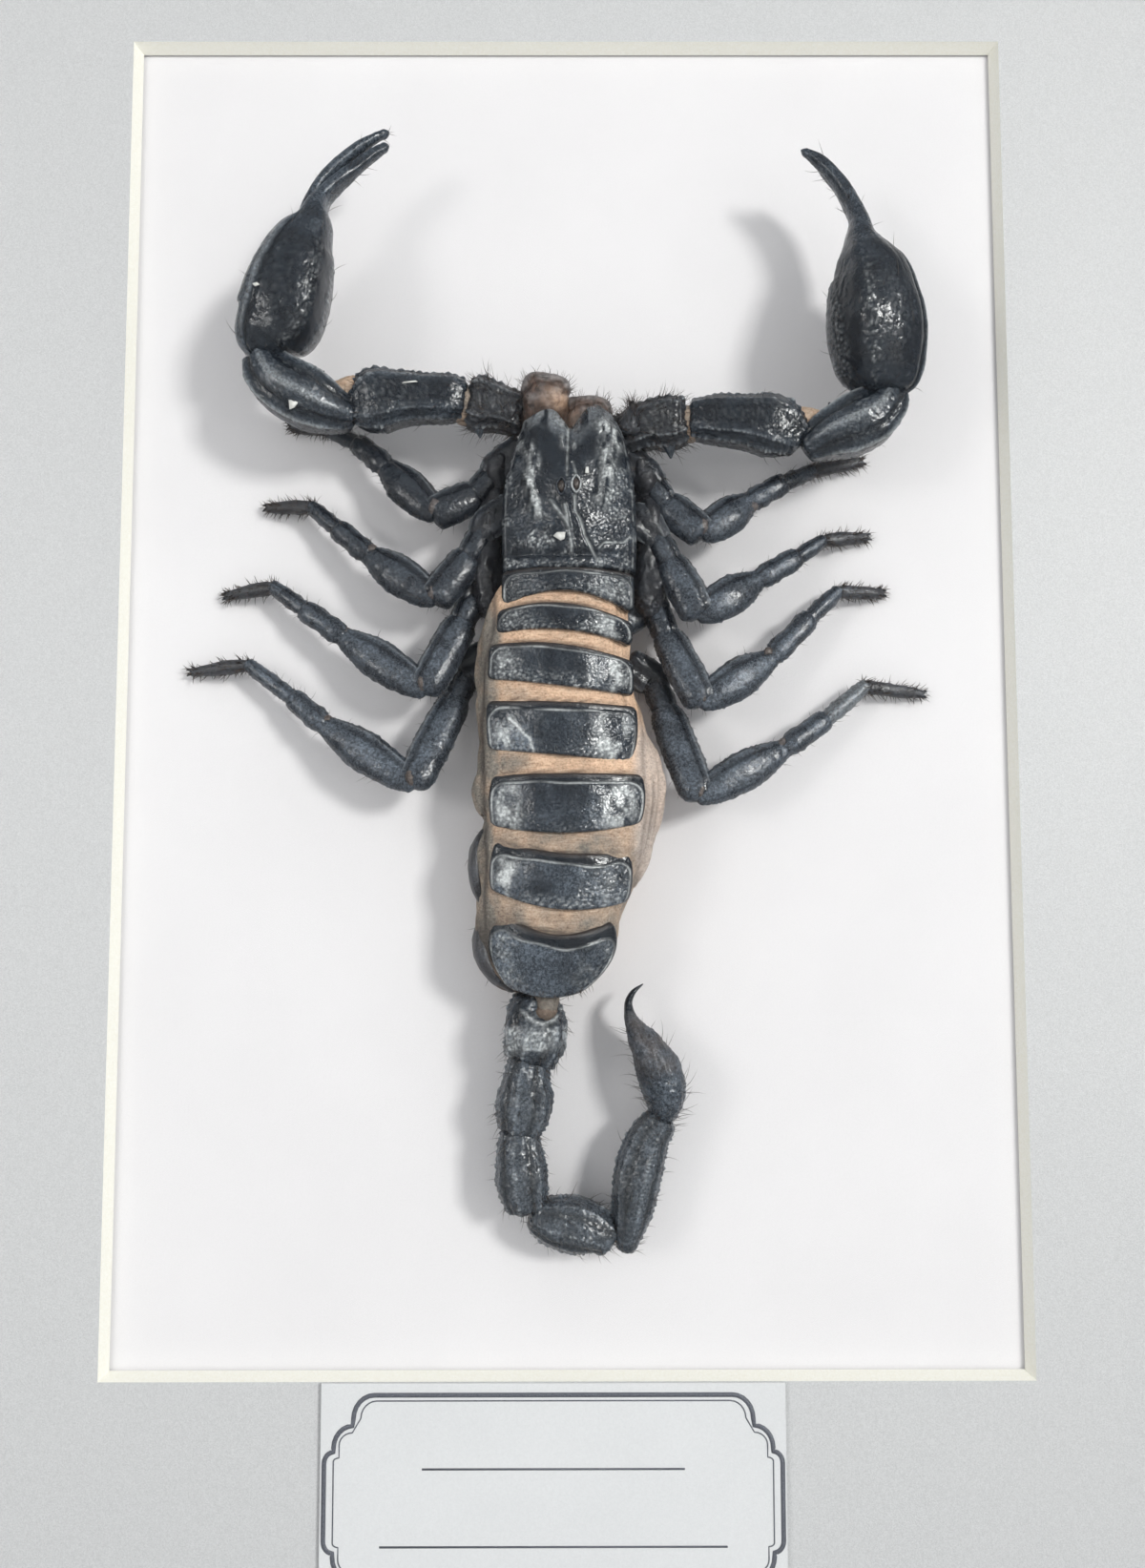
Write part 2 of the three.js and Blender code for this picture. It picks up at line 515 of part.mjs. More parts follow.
function sheets() {
  const group = new THREE.Group();
  group.add(named('glass', box(MAT_WIDTH, MAT_HEIGHT, GLASS_BACK, GLASS_FRONT), clearGlass));
  const mat = named('mat', matBoard(), matPaper);
  mat.position.z = MAT_BACK;
  group.add(mat);
  group.add(named('backing_card', box(MAT_WIDTH, MAT_HEIGHT, CARD_BACK, CARD_FRONT), cardPaper));
  const boardFront = BACK_RECESS + BOARD_THICKNESS;
  group.add(named('back_board', box(MAT_WIDTH, MAT_HEIGHT, BACK_RECESS, boardFront), hardboard));
  const labelBack = MAT_FRONT + FIT;
  const label = box(LABEL_WIDTH, LABEL_HEIGHT, labelBack, labelBack + LABEL_THICKNESS);
  const card = named('label_card', label, labelPaper);
  card.position.set(LABEL_X, -WINDOW_HEIGHT / 2 - WINDOW_BEVEL - LABEL_HEIGHT / 2, 0);
  group.add(card);
  return group;
}

// Framer's points lie on the back board against the rails, and the hanger is nailed to the board
function backHardware() {
  const group = new THREE.Group();
  const front = BACK_RECESS - FIT;
  const shape = box(POINT_LENGTH, POINT_WIDTH, front - POINT_THICKNESS, front);
  const x = (MAT_WIDTH - POINT_LENGTH) / 2;
  const y = (MAT_HEIGHT - POINT_LENGTH) / 2;
  const places = [
    [-x, -POINT_SPREAD, 0], [-x, POINT_SPREAD, 0], [x, -POINT_SPREAD, 0], [x, POINT_SPREAD, 0],
    [0, -y, Math.PI / 2], [0, y, Math.PI / 2],
  ];
  places.forEach(([atX, atY, turn], i) => {
    const mesh = named(`framer_point_${i + 1}`, shape, zinc);
    mesh.position.set(atX, atY, 0);
    mesh.rotation.z = turn;
    group.add(mesh);
  });
  const hanger = named('hanger', sawtoothHanger(), zinc);
  hanger.position.set(0, y - 2 * HANGER_HEIGHT, front);
  hanger.rotation.y = Math.PI;
  group.add(hanger);
  return group;
}

const picture = new THREE.Group();
picture.add(frameRails(), spacers(), sheets(), backHardware(), scorpion());
picture.rotation.x = Math.PI / 2;
picture.position.set(0, RAIL_DEPTH / 2, FRAME_HEIGHT / 2);

const part = new THREE.Group();
part.add(picture);

export default part;
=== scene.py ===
"""Framed forest scorpion: a dried scorpion on a pale card, in a mat window behind the glass of a shadow box.

The wood, glass and boards are the solids of the frame with fine materials. The scorpion's plates, limbs,
skin and hairs are modelled here along the run of its solids, in the specimen's own millimetres: x to the
right, y up the picture and z out of the card, from the middle of the mat window.
"""
import math

import bpy
import numpy as np
from mathutils import Matrix, Vector


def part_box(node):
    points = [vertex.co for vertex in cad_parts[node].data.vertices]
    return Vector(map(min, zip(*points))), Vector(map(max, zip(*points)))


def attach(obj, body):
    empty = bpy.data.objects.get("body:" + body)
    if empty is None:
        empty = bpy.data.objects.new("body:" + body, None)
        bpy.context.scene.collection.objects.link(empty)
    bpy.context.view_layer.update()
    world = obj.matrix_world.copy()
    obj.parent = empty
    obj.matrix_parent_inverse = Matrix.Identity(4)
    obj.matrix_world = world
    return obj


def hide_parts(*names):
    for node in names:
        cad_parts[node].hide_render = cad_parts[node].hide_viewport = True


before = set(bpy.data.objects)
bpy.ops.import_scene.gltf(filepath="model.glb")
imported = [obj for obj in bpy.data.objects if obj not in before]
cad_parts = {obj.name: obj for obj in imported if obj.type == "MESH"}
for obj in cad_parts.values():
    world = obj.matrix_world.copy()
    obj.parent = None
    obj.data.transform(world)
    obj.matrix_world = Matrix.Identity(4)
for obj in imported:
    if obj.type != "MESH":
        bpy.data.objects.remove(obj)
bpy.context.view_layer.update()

# Specimen frame
MM = 0.001
CARD_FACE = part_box("backing_card")[0].y
WINDOW_MIDDLE = (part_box("mat")[0].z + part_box("mat")[1].z) / 2
LABEL_FACE = (CARD_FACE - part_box("label_card")[0].y) / MM
UP = np.array([0.0, 0.0, 1.0])
TURN = 2 * np.pi
RNG = np.random.default_rng(11)
# pale also holds painted highlights and glints, and on the soft skin the skin mark holds painted shade
MARKS = ("dust", "skin", "pale")   # how dusty, skin-like and pale each point is, read by the materials
FEWEST_RINGS = 12
FEWEST_SIDES = 14
THINNEST = 0.03                    # half width or height of a limb
END_CROWDING = 0.6                 # how much closer the rings of a limb stand at its ends
FACET_EDGE = 2.6                   # how sharply a facet breaks off at its crest
KEEL_TONE = 0.45                   # lighter on keels and darker in grooves, through the dust mark
KEEL_PALE = 1.4                    # how pale a keel's crest is for its height, partly a painted highlight
KNOB_PAINTED_GLINT = 1.5                    # painted glint on a knob's grains, for its height
KEEL_REACH = 1.5                   # how far keels run on where a limb thins
SKIN_BELOW = 0.4                   # how far the soft skin stays under the back plates

# Pedipalps, tail, jaws and body: [x, y, z, half width, half height] along each piece
SECTIONS = {
    "pedipalp_left_trochanter": [
        [-6.4, 29.4, 7.4, 2.0, 2.1], [-7.9, 29.9, 7.5, 2.5, 2.4], [-9.4, 30.2, 7.5, 2.9, 2.5],
        [-10.7, 30.4, 7.6, 2.4, 2.2]],
    "pedipalp_left_femur": [
        [-11.5, 30.6, 7.8, 2.0, 2.0], [-12.6, 30.7, 8.0, 2.4, 2.4], [-15.5, 30.7, 8.2, 2.5, 2.6],
        [-18.6, 30.6, 8.4, 2.9, 2.8], [-20.8, 30.3, 8.5, 3.3, 2.9], [-22.2, 29.8, 8.4, 2.8, 2.5],
        [-23.1, 29.6, 8.3, 1.5, 1.7]],
    "pedipalp_left_patella": [
        [-24.4, 28.8, 8.3, 1.4, 1.8], [-25.7, 29.1, 8.6, 2.4, 2.8], [-28.4, 30.3, 9.0, 3.1, 3.3],
        [-30.8, 31.6, 9.2, 3.0, 3.4], [-32.5, 33.3, 9.2, 2.6, 3.0], [-33.1, 34.6, 9.1, 1.9, 2.3]],
    "pincer_left_hand": [
        [-33.1, 35.7, 9.1, 2.2, 2.4], [-32.8, 36.9, 9.3, 3.45, 3.8], [-31.6, 38.7, 9.7, 4.45, 4.4],
        [-30.8, 41.0, 10.0, 4.55, 4.7], [-29.9, 43.9, 10.2, 4.25, 4.5], [-29.0, 46.9, 10.2, 3.5, 3.7],
        [-27.8, 49.6, 10.2, 2.1, 2.8], [-27.5, 51.4, 10.1, 1.3, 2.2], [-26.9, 52.8, 9.9, 0.86, 1.75],
        [-25.4, 54.5, 9.8, 0.76, 1.35], [-23.6, 56.2, 9.7, 0.74, 0.95], [-21.7, 57.9, 9.5, 0.66, 0.8],
        [-20.6, 58.8, 9.3, 0.54, 0.6], [-20.05, 59.2, 9.2, 0.4, 0.42], [-19.8, 59.4, 9.15, 0.12, 0.12]],
    "pincer_left_finger": [
        [-28.8, 50.4, 9.9, 0.85, 1.3], [-28.05, 52.8, 9.9, 0.74, 1.2], [-26.5, 55.4, 9.8, 0.7, 1.1],
        [-24.7, 57.3, 9.7, 0.72, 1.05], [-22.5, 59.2, 9.5, 0.64, 0.9], [-20.9, 60.35, 9.3, 0.5, 0.65],
        [-20.0, 60.8, 9.2, 0.38, 0.42], [-19.7, 60.95, 9.15, 0.12, 0.12]],
    "pedipalp_right_trochanter": [
        [7.4, 27.4, 6.6, 2.0, 2.0], [9.4, 28.0, 7.1, 2.5, 2.4], [11.4, 28.1, 7.4, 2.8, 2.6],
        [13.1, 28.3, 7.6, 2.2, 2.2]],
    "pedipalp_right_femur": [
        [13.9, 28.4, 7.8, 1.9, 2.0], [15.2, 28.3, 8.0, 2.3, 2.4], [18.0, 28.1, 8.3, 2.6, 2.7],
        [20.6, 27.8, 8.4, 2.9, 2.8], [22.7, 27.4, 8.5, 3.2, 2.8], [24.2, 26.7, 8.4, 2.7, 2.5],
        [25.3, 26.0, 8.3, 1.5, 1.7]],
    "pedipalp_right_patella": [
        [27.2, 25.4, 8.3, 1.4, 1.8], [28.6, 26.2, 8.6, 2.4, 2.8], [31.0, 27.1, 8.9, 3.0, 3.3],
        [33.2, 28.2, 9.1, 3.0, 3.3], [34.6, 29.6, 9.1, 2.5, 2.8], [35.0, 30.7, 9.1, 1.9, 2.2]],
    "pincer_right_hand": [
        [34.2, 31.6, 9.0, 3.1, 2.6], [34.3, 32.8, 9.2, 4.45, 3.8], [34.2, 35.2, 9.5, 5.0, 4.5],
        [33.9, 38.2, 9.8, 5.3, 4.9], [33.6, 41.0, 10.0, 5.0, 4.8], [33.3, 43.6, 10.2, 4.3, 4.3],
        [32.7, 45.8, 10.3, 3.1, 3.5], [32.35, 47.7, 10.3, 1.8, 2.6], [32.2, 49.9, 10.2, 1.15, 1.7],
        [31.6, 51.9, 10.1, 0.92, 1.2], [30.4, 54.3, 10.0, 0.84, 1.0], [28.3, 56.9, 9.8, 0.72, 0.8],
        [27.0, 58.0, 9.7, 0.56, 0.6], [26.35, 58.45, 9.6, 0.4, 0.43], [26.05, 58.65, 9.55, 0.12, 0.12]],
    "pincer_right_finger": [
        [32.9, 49.0, 7.6, 0.6, 0.8], [32.0, 52.4, 7.6, 0.65, 1.0], [30.7, 55.1, 7.7, 0.6, 1.0],
        [28.7, 57.4, 7.9, 0.5, 0.8], [27.7, 58.4, 8.1, 0.22, 0.3]],
    "tail_segment_1": [
        [-3.1, -35.3, 6.4, 2.3, 2.1], [-3.3, -36.6, 6.4, 3.1, 2.8], [-3.4, -39.2, 6.3, 3.2, 3.0],
        [-3.9, -41.0, 6.1, 2.4, 2.3]],
    "tail_segment_2": [
        [-4.0, -41.7, 5.9, 2.0, 2.1], [-4.4, -43.6, 5.7, 2.4, 2.7], [-4.6, -46.5, 5.5, 2.8, 2.9],
        [-5.0, -48.6, 5.3, 2.1, 2.3]],
    "tail_segment_3": [
        [-5.1, -49.4, 5.1, 1.8, 2.1], [-5.0, -52.0, 4.9, 2.5, 2.7], [-4.7, -55.0, 4.7, 2.6, 2.8],
        [-4.4, -56.9, 4.5, 1.8, 2.2]],
    "tail_segment_4": [
        [-3.2, -58.2, 4.4, 1.5, 1.9], [-1.3, -58.7, 4.3, 2.6, 2.6], [1.2, -59.2, 4.2, 2.8, 2.7],
        [3.1, -59.9, 4.2, 2.4, 2.5], [4.2, -60.7, 4.2, 1.4, 1.9]],
    "tail_segment_5": [
        [6.3, -61.0, 4.2, 0.8, 1.8], [6.8, -58.7, 4.3, 1.8, 2.4], [7.7, -53.4, 4.4, 2.4, 2.7],
        [8.9, -49.9, 4.6, 2.1, 2.4], [9.9, -48.4, 4.7, 1.5, 1.9]],
    "sting": [
        [10.3, -47.3, 4.8, 1.2, 1.8], [10.6, -45.4, 4.9, 2.2, 2.6], [9.9, -42.7, 5.0, 2.4, 2.8],
        [8.7, -40.3, 5.0, 1.8, 2.3], [7.5, -38.4, 4.9, 1.1, 1.6], [6.8, -36.7, 4.8, 0.6, 1.0],
        [6.7, -35.4, 4.7, 0.42, 0.7], [7.2, -34.4, 4.5, 0.3, 0.45], [8.3, -33.5, 4.3, 0.06, 0.08]],
    "jaw_left": [
        [-2.1, 28.2, 8.8, 2.5, 1.6], [-2.2, 30.0, 9.6, 2.55, 2.2], [-2.2, 31.4, 9.7, 2.5, 2.1],
        [-2.1, 32.5, 9.5, 2.2, 1.6]],
    "jaw_right": [
        [1.9, 25.8, 8.4, 2.3, 1.6], [2.1, 27.5, 8.8, 2.5, 1.9], [2.3, 29.0, 9.0, 2.5, 2.0],
        [2.4, 30.2, 8.8, 2.1, 1.5]],
    "coxae": [
        [0.3, 28.4, 4.2, 2.2, 1.6], [0.3, 26.5, 4.2, 4.4, 2.6], [0.3, 23.0, 3.9, 6.6, 2.7],
        [0.3, 18.0, 3.6, 8.2, 2.6], [0.2, 13.0, 3.5, 9.0, 2.6], [0.2, 9.0, 3.4, 9.0, 2.5],
        [0.1, 4.0, 3.3, 8.6, 2.4]],
    "abdomen": [
        [-0.1, 10.2, 5.6, 6.4, 5.4], [-0.3, 8.6, 5.6, 7.0, 5.7], [-1.2, 4.6, 5.6, 8.1, 5.8],
        [-1.5, -1.1, 5.6, 8.4, 5.8], [-0.4, -7.4, 5.6, 9.2, 5.8], [0.2, -12.5, 5.6, 10.4, 5.8],
        [0.1, -16.8, 5.6, 9.5, 5.8], [-1.2, -21.0, 5.6, 8.7, 5.8], [-1.8, -25.0, 5.6, 7.8, 5.8],
        [-2.2, -28.6, 5.7, 7.4, 5.4], [-2.2, -31.7, 5.9, 6.1, 4.4], [-1.9, -34.0, 6.3, 3.9, 3.0]],
}

# Legs: hip, then the far end of each of the six segments
LEGS = {
    "leg_left_1": [(-7.9, 23.4, 5.5), (-10.2, 20.6, 5.6), (-14.6, 18.3, 6.2), (-20.3, 24.2, 4.6),
                   (-23.7, 27.3, 3.4), (-27.1, 29.2, 2.4), (-31.4, 30.0, 1.0)],
    "leg_left_2": [(-9.1, 16.8, 5.5), (-10.8, 13.5, 5.8), (-14.5, 8.6, 6.6), (-22.1, 14.1, 4.8),
                   (-25.7, 17.3, 3.6), (-28.9, 20.1, 2.6), (-34.0, 20.5, 1.0)],
    "leg_left_3": [(-10.2, 9.6, 3.8), (-11.6, 6.5, 4.8), (-15.5, -1.5, 6.8), (-24.8, 4.8, 4.8),
                   (-29.3, 8.1, 3.6), (-33.1, 10.9, 2.6), (-38.5, 10.3, 1.0)],
    "leg_left_4": [(-11.4, 1.0, 2.4), (-12.3, -1.8, 3.4), (-16.7, -11.8, 7.0), (-26.8, -5.0, 4.8),
                   (-30.5, -1.9, 3.6), (-35.7, 2.0, 2.6), (-42.3, 1.5, 1.0)],
    "leg_right_1": [(9.2, 22.3, 5.5), (11.1, 19.5, 5.6), (15.0, 16.1, 6.2), (20.5, 20.1, 4.6),
                    (24.5, 22.6, 3.4), (27.9, 24.3, 2.4), (33.6, 25.8, 1.0)],
    "leg_right_2": [(9.8, 16.1, 5.5), (11.5, 13.0, 5.8), (14.5, 6.9, 6.6), (21.4, 11.2, 4.8),
                    (25.9, 14.0, 3.6), (29.0, 16.2, 2.6), (34.1, 17.0, 1.0)],
    "leg_right_3": [(9.7, 8.7, 3.8), (11.1, 4.9, 4.8), (14.7, -2.9, 6.8), (22.7, 2.4, 4.8),
                    (27.2, 7.0, 3.6), (30.6, 10.3, 2.6), (35.7, 10.5, 1.0)],
    "leg_right_4": [(9.8, -0.1, 2.4), (10.9, -3.1, 3.4), (14.3, -13.2, 7.0), (24.1, -7.7, 4.8),
                    (28.8, -4.4, 3.6), (33.4, -0.5, 2.6), (40.0, -1.1, 1.0)],
}
# Each leg segment: half width, half height, and its outline as [share of its length, share of its width]
LEG_SEGMENTS = [
    (1.5, 1.4, [(0, 0.8), (0.5, 1.0), (1, 0.9)]),
    (1.95, 1.4, [(0, 0.62), (0.12, 0.88), (0.35, 1.0), (0.75, 1.0), (0.92, 0.9), (1, 0.62)]),
    (2.08, 1.4, [(0, 0.42), (0.12, 0.7), (0.35, 0.97), (0.58, 1.02), (0.84, 0.7), (1, 0.44)]),
    (1.15, 1.0, [(0, 0.7), (0.25, 1.08), (0.5, 1.0), (0.9, 0.95), (1, 0.75)]),
    (0.82, 0.82, [(0, 0.85), (0.25, 1.0), (0.8, 0.95), (1, 0.85)]),
    (0.74, 0.66, [(0, 0.8), (0.2, 1.0), (0.65, 0.95), (1, 0.6)]),
]
LEG_OVERLAP = 0.5

# Back plates: y of the front and hind edges at the left, middle and right, x of the sides at the front,
# middle and hind edge, depth of the smooth front lip, strength of the slate bloom and of the painted
# gleams at the left and right, and how far a plate falls to the rear
TERGITES = [
    dict(front=(10.9, 11.1, 10.7), hind=(7.2, 8.4, 6.5), left=(-7.0, -7.0, -7.0), right=(7.3, 7.3, 7.3),
         lip=0.7, bloom=0.14, gleam=(0.1, 0.3)),
    dict(front=(6.8, 7.1, 5.5), hind=(4.1, 4.2, 2.9), left=(-7.4, -7.5, -7.6), right=(7.1, 7.1, 7.1),
         lip=0.45, bloom=0.14, gleam=(0.1, 0.8)),
    dict(front=(3.0, 2.7, 1.3), hind=(-0.9, -1.8, -2.6), left=(-8.3, -8.4, -8.5), right=(7.1, 7.2, 7.2),
         lip=0.6, bloom=0.24, gleam=(0.5, 1.5)),
    dict(front=(-3.1, -3.5, -3.7), hind=(-8.5, -9.2, -9.8), left=(-8.5, -8.6, -8.3), right=(7.4, 7.6, 7.0),
         lip=0.9, bloom=0.28, gleam=(0.9, 1.3)),
    dict(front=(-11.0, -11.1, -11.0), hind=(-16.7, -17.4, -16.5), left=(-7.9, -8.3, -8.0),
         right=(8.0, 8.4, 7.8), lip=1.1, bloom=0.42, gleam=(1.7, 1.1)),
    dict(front=(-18.0, -19.5, -19.1), hind=(-23.6, -25.4, -24.8), left=(-7.5, -8.2, -8.0),
         right=(6.6, 7.0, 6.4), lip=1.2, bloom=0.52, gleam=(1.5, 0.3)),
    dict(front=(-25.6, -28.0, -26.6), hind=(-33.9, -34.6, -34.5), left=(-7.2, -8.3, -6.2),
         right=(4.8, 4.9, 1.2), lip=1.4, bloom=0.8, gleam=(0.3, 0.2), fall=1.8),
]
PLATE_GRID = (52, 140)
PLATE_CREST = 12.2
PLATE_DROP = 2.0
PLATE_THICKNESS = 0.8
PLATE_RIM = 0.3
PLATE_CORNER = 0.8
PLATE_MARGIN = 0.3                 # from a plate's side to the pale line that runs round it
LINE_CORNER = 1.3
# Left and right places of the painted gleams on a plate
GLEAM_SPOTS = [((-0.76, 0.6), (0.12, 0.4)), ((0.68, 0.6), (0.2, 0.45))]   # (centre, radii) in shares
CRACKED_PLATE = 4
CRACK = [(-6.1, -5.2), (-5.4, -5.8), (-4.6, -6.8), (-3.9, -7.4), (-3.5, -8.8)]
LAST_PLATE = 7
PLATE_SHIFT = 7.3                  # between the places where two plates read the noise
LINE_WIDTH = 0.1

# Front shield: y of its front edge across the width, then rows of [share of the length, left, right, crest]
CARAPACE_GRID = (200, 170)
CARAPACE_FRONT = [(-1, 28.4), (-0.75, 29.4), (-0.45, 29.3), (-0.15, 27.4), (0, 26.5), (0.15, 27.4),
                  (0.4, 29.1), (0.7, 29.3), (1, 27.9)]
CARAPACE_ROWS = [(0, -6.9, 7.5, 12.4), (0.25, -7.0, 7.6, 12.8), (0.5, -6.8, 7.4, 13.2),
                 (0.75, -5.8, 6.8, 13.0), (0.92, -4.9, 6.1, 12.2), (1, -4.7, 5.6, 11.2)]
CARAPACE_HIND = 10.9
CARAPACE_UNDER = 7.5
CARAPACE_DROP = 2.4
CARAPACE_RIM = 0.9
CARAPACE_END_RIM = 0.4
# Marks on the shield: strokes as (path, width, weight) and round spots as (centre, radii)
CARAPACE_STROKES = {
    "groove": [([(0.25, 27.0), (0.2, 25.8), (0.1, 22.1), (0.1, 20.5)], 0.11, 1.0)],
    "furrow": [([(0.9, 18.4), (0.9, 16.9), (1.5, 15.8), (2.0, 14.1), (2.7, 12.8), (3.4, 11.6)], 0.11, 1.0)],
    "arcs": [([(3.5, 13.0), (4.0, 13.6), (5.2, 13.7), (6.2, 13.8), (6.8, 14.5)], 0.11, 1.0),
             ([(0.7, 22.0), (1.0, 20.8)], 0.12, 0.6)],
    "ridges": [([(-1.7, 17.9), (-0.9, 16.7), (-0.2, 15.9), (0.1, 15.0)], 0.2, 1.0),
               ([(-0.2, 17.4), (0.1, 16.0), (0.5, 13.3), (0.5, 12.5)], 0.16, 1.0)],
    # Crests are raised, and made pale further on as painted highlights
    "crests": [([(-4.8, 24.2), (-4.1, 23.9), (-3.5, 22.3), (-3.8, 21.4)], 0.6, 1.0),
               ([(-4.1, 20.2), (-3.6, 18.3), (-3.1, 16.8)], 0.55, 1.0),
               ([(4.2, 26.4), (4.9, 25.6), (5.1, 24.2), (4.5, 23.4)], 0.8, 1.0),
               ([(4.3, 22.2), (4.7, 21.2), (4.2, 20.0), (3.9, 18.3)], 0.7, 1.0)],
    # Worn patches are dusty, with painted glints on their grains
    "worn": [([(-5.6, 16.2), (-4.9, 15.0), (-3.4, 14.0), (-1.8, 13.2)], 0.9, 1.0),
             ([(-6.0, 11.3), (-3.2, 11.4)], 0.3, 1.0), ([(3.0, 11.6), (5.6, 11.3)], 0.3, 1.0)],
    "step": [([(-5.8, 12.5), (0.2, 12.2), (6.0, 12.4)], 0.4, 1.0)],
}
CARAPACE_SPOTS = {
    # The two ridge spots by the groove are raised painted glints
    "ridges": [((-0.5, 24.6), (0.25, 0.8)), ((0.8, 24.0), (0.18, 0.4))],
    "worn": [((4.9, 12.3), (1.3, 0.8)), ((5.2, 14.9), (0.8, 0.5)), ((5.3, 19.0), (1.3, 3.4))],
    "mound": [((0.3, 19.6), (1.2, 1.7))],
}
# Height of each kind of mark, and how pale the lines are
CARAPACE_HEIGHTS = dict(groove=-0.35, furrow=-0.35, arcs=-0.25, ridges=0.3, crests=0.5, mound=0.25,
                        step=-0.35)
CARAPACE_PALE = dict(groove=0.65, furrow=1.0, arcs=0.8, ridges=0.5)
EYES = [((1.05, 19.55), 0.6), ((-0.55, 19.3), 0.0)]   # place of each eye and how pale its lids are
EYE_RADIUS = 0.34
EYE_HEIGHT = 13.4
LID_HEIGHT = 13.52
MIDDLE_LINE = 0.3
PANEL_MIDDLE = 1.8                 # from the middle line to the middle of a smooth panel
PANEL_HALF = 0.95
PANEL_EDGE = 1.9                   # how soon a panel ends, in its half widths
PANEL_SMOOTH = 0.94
PANEL_HIND = 16.8


def to_frame(points):
    """Specimen millimetres to metres in the object's frame."""
    x, y, z = np.asarray(points, float).T * MM
    return np.stack([x, CARD_FACE - z, WINDOW_MIDDLE + y], axis=-1)


# Noise and curves
def lattice(cells, salt):
    """A repeatable number from 0 to 1 for each whole-number cell."""
    i = cells.astype(np.int64)
    mixed = i[..., 0] * 73856093 ^ i[..., 1] * 19349663 ^ i[..., 2] * 83492791 ^ (salt + 1) * 40503
    mixed = (mixed ^ (mixed >> 13)) * 1274126177 & 0xFFFFFFFF
    return ((mixed ^ (mixed >> 15)) & 0xFFFF) / 0xFFFF


def noise(points, size, salt=0):
    """Smooth noise from -1 to 1 with lumps of the given size in millimetres; each salt gives another one."""
    place = points / size
    base = np.floor(place)
    part = place - base
    part = part * part * (3 - 2 * part)
    total = 0.0
    for corner in np.ndindex(2, 2, 2):
        weight = np.prod(np.where(np.array(corner), part, 1 - part), axis=-1)
        total = total + weight * lattice(base + np.array(corner), salt)
    return 2 * total - 1


def mottle(points, size, salt, base=0.5, strength=1.0):
    """Noise about a base level, kept from 0 to 1."""
    return np.clip(base + strength * noise(points, size, salt), 0, 1)


def grains(points, size, salt=0):
    """Round grains about one size apart: 1 on top of each grain and 0 between them."""
    place = points / size
    base = np.floor(place)
    nearest = np.full(place.shape[:-1], 9.0)
    for corner in np.ndindex(3, 3, 3):
        cell = base + np.array(corner) - 1
        seed = np.stack([lattice(cell, salt + axis) for axis in range(3)], axis=-1)
        nearest = np.minimum(nearest, ((place - cell - seed) ** 2).sum(axis=-1))
    return np.clip(1 - nearest / 0.3, 0, 1)


def spline(knots, values, at):
    """Smooth curve through values at knots, read at each place in at."""
    knots = np.asarray(knots, float)
    values = np.asarray(values, float)
    slopes = np.gradient(values, knots, axis=0)
    i = np.clip(np.searchsorted(knots, at, side="right") - 1, 0, len(knots) - 2)
    shape = (-1,) + (1,) * (values.ndim - 1)
    span = (knots[i + 1] - knots[i]).reshape(shape)
    t = (at - knots[i]).reshape(shape) / span
    return ((2 * t**3 - 3 * t**2 + 1) * values[i] + (t**3 - 2 * t**2 + t) * span * slopes[i]
            + (3 * t**2 - 2 * t**3) * values[i + 1] + (t**3 - t**2) * span * slopes[i + 1])


def parabola(three, share):
    """Value at a share of the way through three evenly spaced values."""
    first, middle, last = three
    return (first * (1 - share) * (1 - 2 * share) + middle * 4 * share * (1 - share)
            + last * share * (2 * share - 1))


def unit(vectors):
    return vectors / np.maximum(np.linalg.norm(vectors, axis=-1, keepdims=True), 1e-9)


def rolled(distance, radius):
    """How far a rounded rim has dropped at a distance from its edge."""
    short = radius - np.clip(distance, 0, radius)
    return radius - np.sqrt(np.maximum(radius * radius - short * short, 0))


def rounded(first, second, radius):
    """Distance inside a round corner, from the distances inside its two straight sides."""
    return radius - np.hypot(np.maximum(radius - first, 0), np.maximum(radius - second, 0))


def stroke(x, y, path, width):
    """1 on a broken line, falling to 0 at about twice its width."""
    nearest = np.full(np.shape(x), 1e9)
    for (ax, ay), (bx, by) in zip(path[:-1], path[1:]):
        dx, dy = bx - ax, by - ay
        share = np.clip(((x - ax) * dx + (y - ay) * dy) / (dx * dx + dy * dy), 0, 1)
        nearest = np.minimum(nearest, (x - ax - share * dx) ** 2 + (y - ay - share * dy) ** 2)
    return np.exp(-nearest / width**2)


def rise(value, start, span):
    """0 up to a start, then growing to 1 over a span."""
    return np.clip((value - start) / span, 0, 1)


def bell(distance, width):
    """1 at no distance, falling to 0 at about twice the width."""
    return np.exp(-((distance / width) ** 2))


def blob(x, y, centre, radii):
    return bell(x - centre[0], radii[0]) * bell(y - centre[1], radii[1])


# Meshes
class Shape:
    """Collects the points, faces and marks of one piece."""

    def __init__(self):
        self.points = []
        self.quads = []
        self.triangles = []
        self.marks = {name: [] for name in MARKS}
        self.size = 0

    def add(self, points, quads=(), triangles=(), **marks):
        points = np.asarray(points, float).reshape(-1, 3)
        self.points.append(points)
        self.quads += (np.asarray(quads, int).reshape(-1, 4) + self.size).tolist()
        self.triangles += (np.asarray(triangles, int).reshape(-1, 3) + self.size).tolist()
        for name in MARKS:
            self.marks[name].append(np.broadcast_to(marks.get(name, 0.0), len(points)))
        self.size += len(points)

    def piece(self, name, material, slot, *nodes):
        """Makes the Blender object, which rides on the frame and stands for the given nodes."""
        mesh = bpy.data.meshes.new(name)
        mesh.from_pydata(to_frame(np.concatenate(self.points)).tolist(), [], self.quads + self.triangles)
        mesh.shade_smooth()
        for mark, values in self.marks.items():
            layer = mesh.attributes.new(mark, "FLOAT", "POINT")
            layer.data.foreach_set("value", np.concatenate(values).astype(np.float32))
        mesh.materials.append(material)
        piece = bpy.data.objects.new(name, mesh)
        bpy.context.scene.collection.objects.link(piece)
        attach(piece, "root")
        if nodes:
            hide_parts(*nodes)


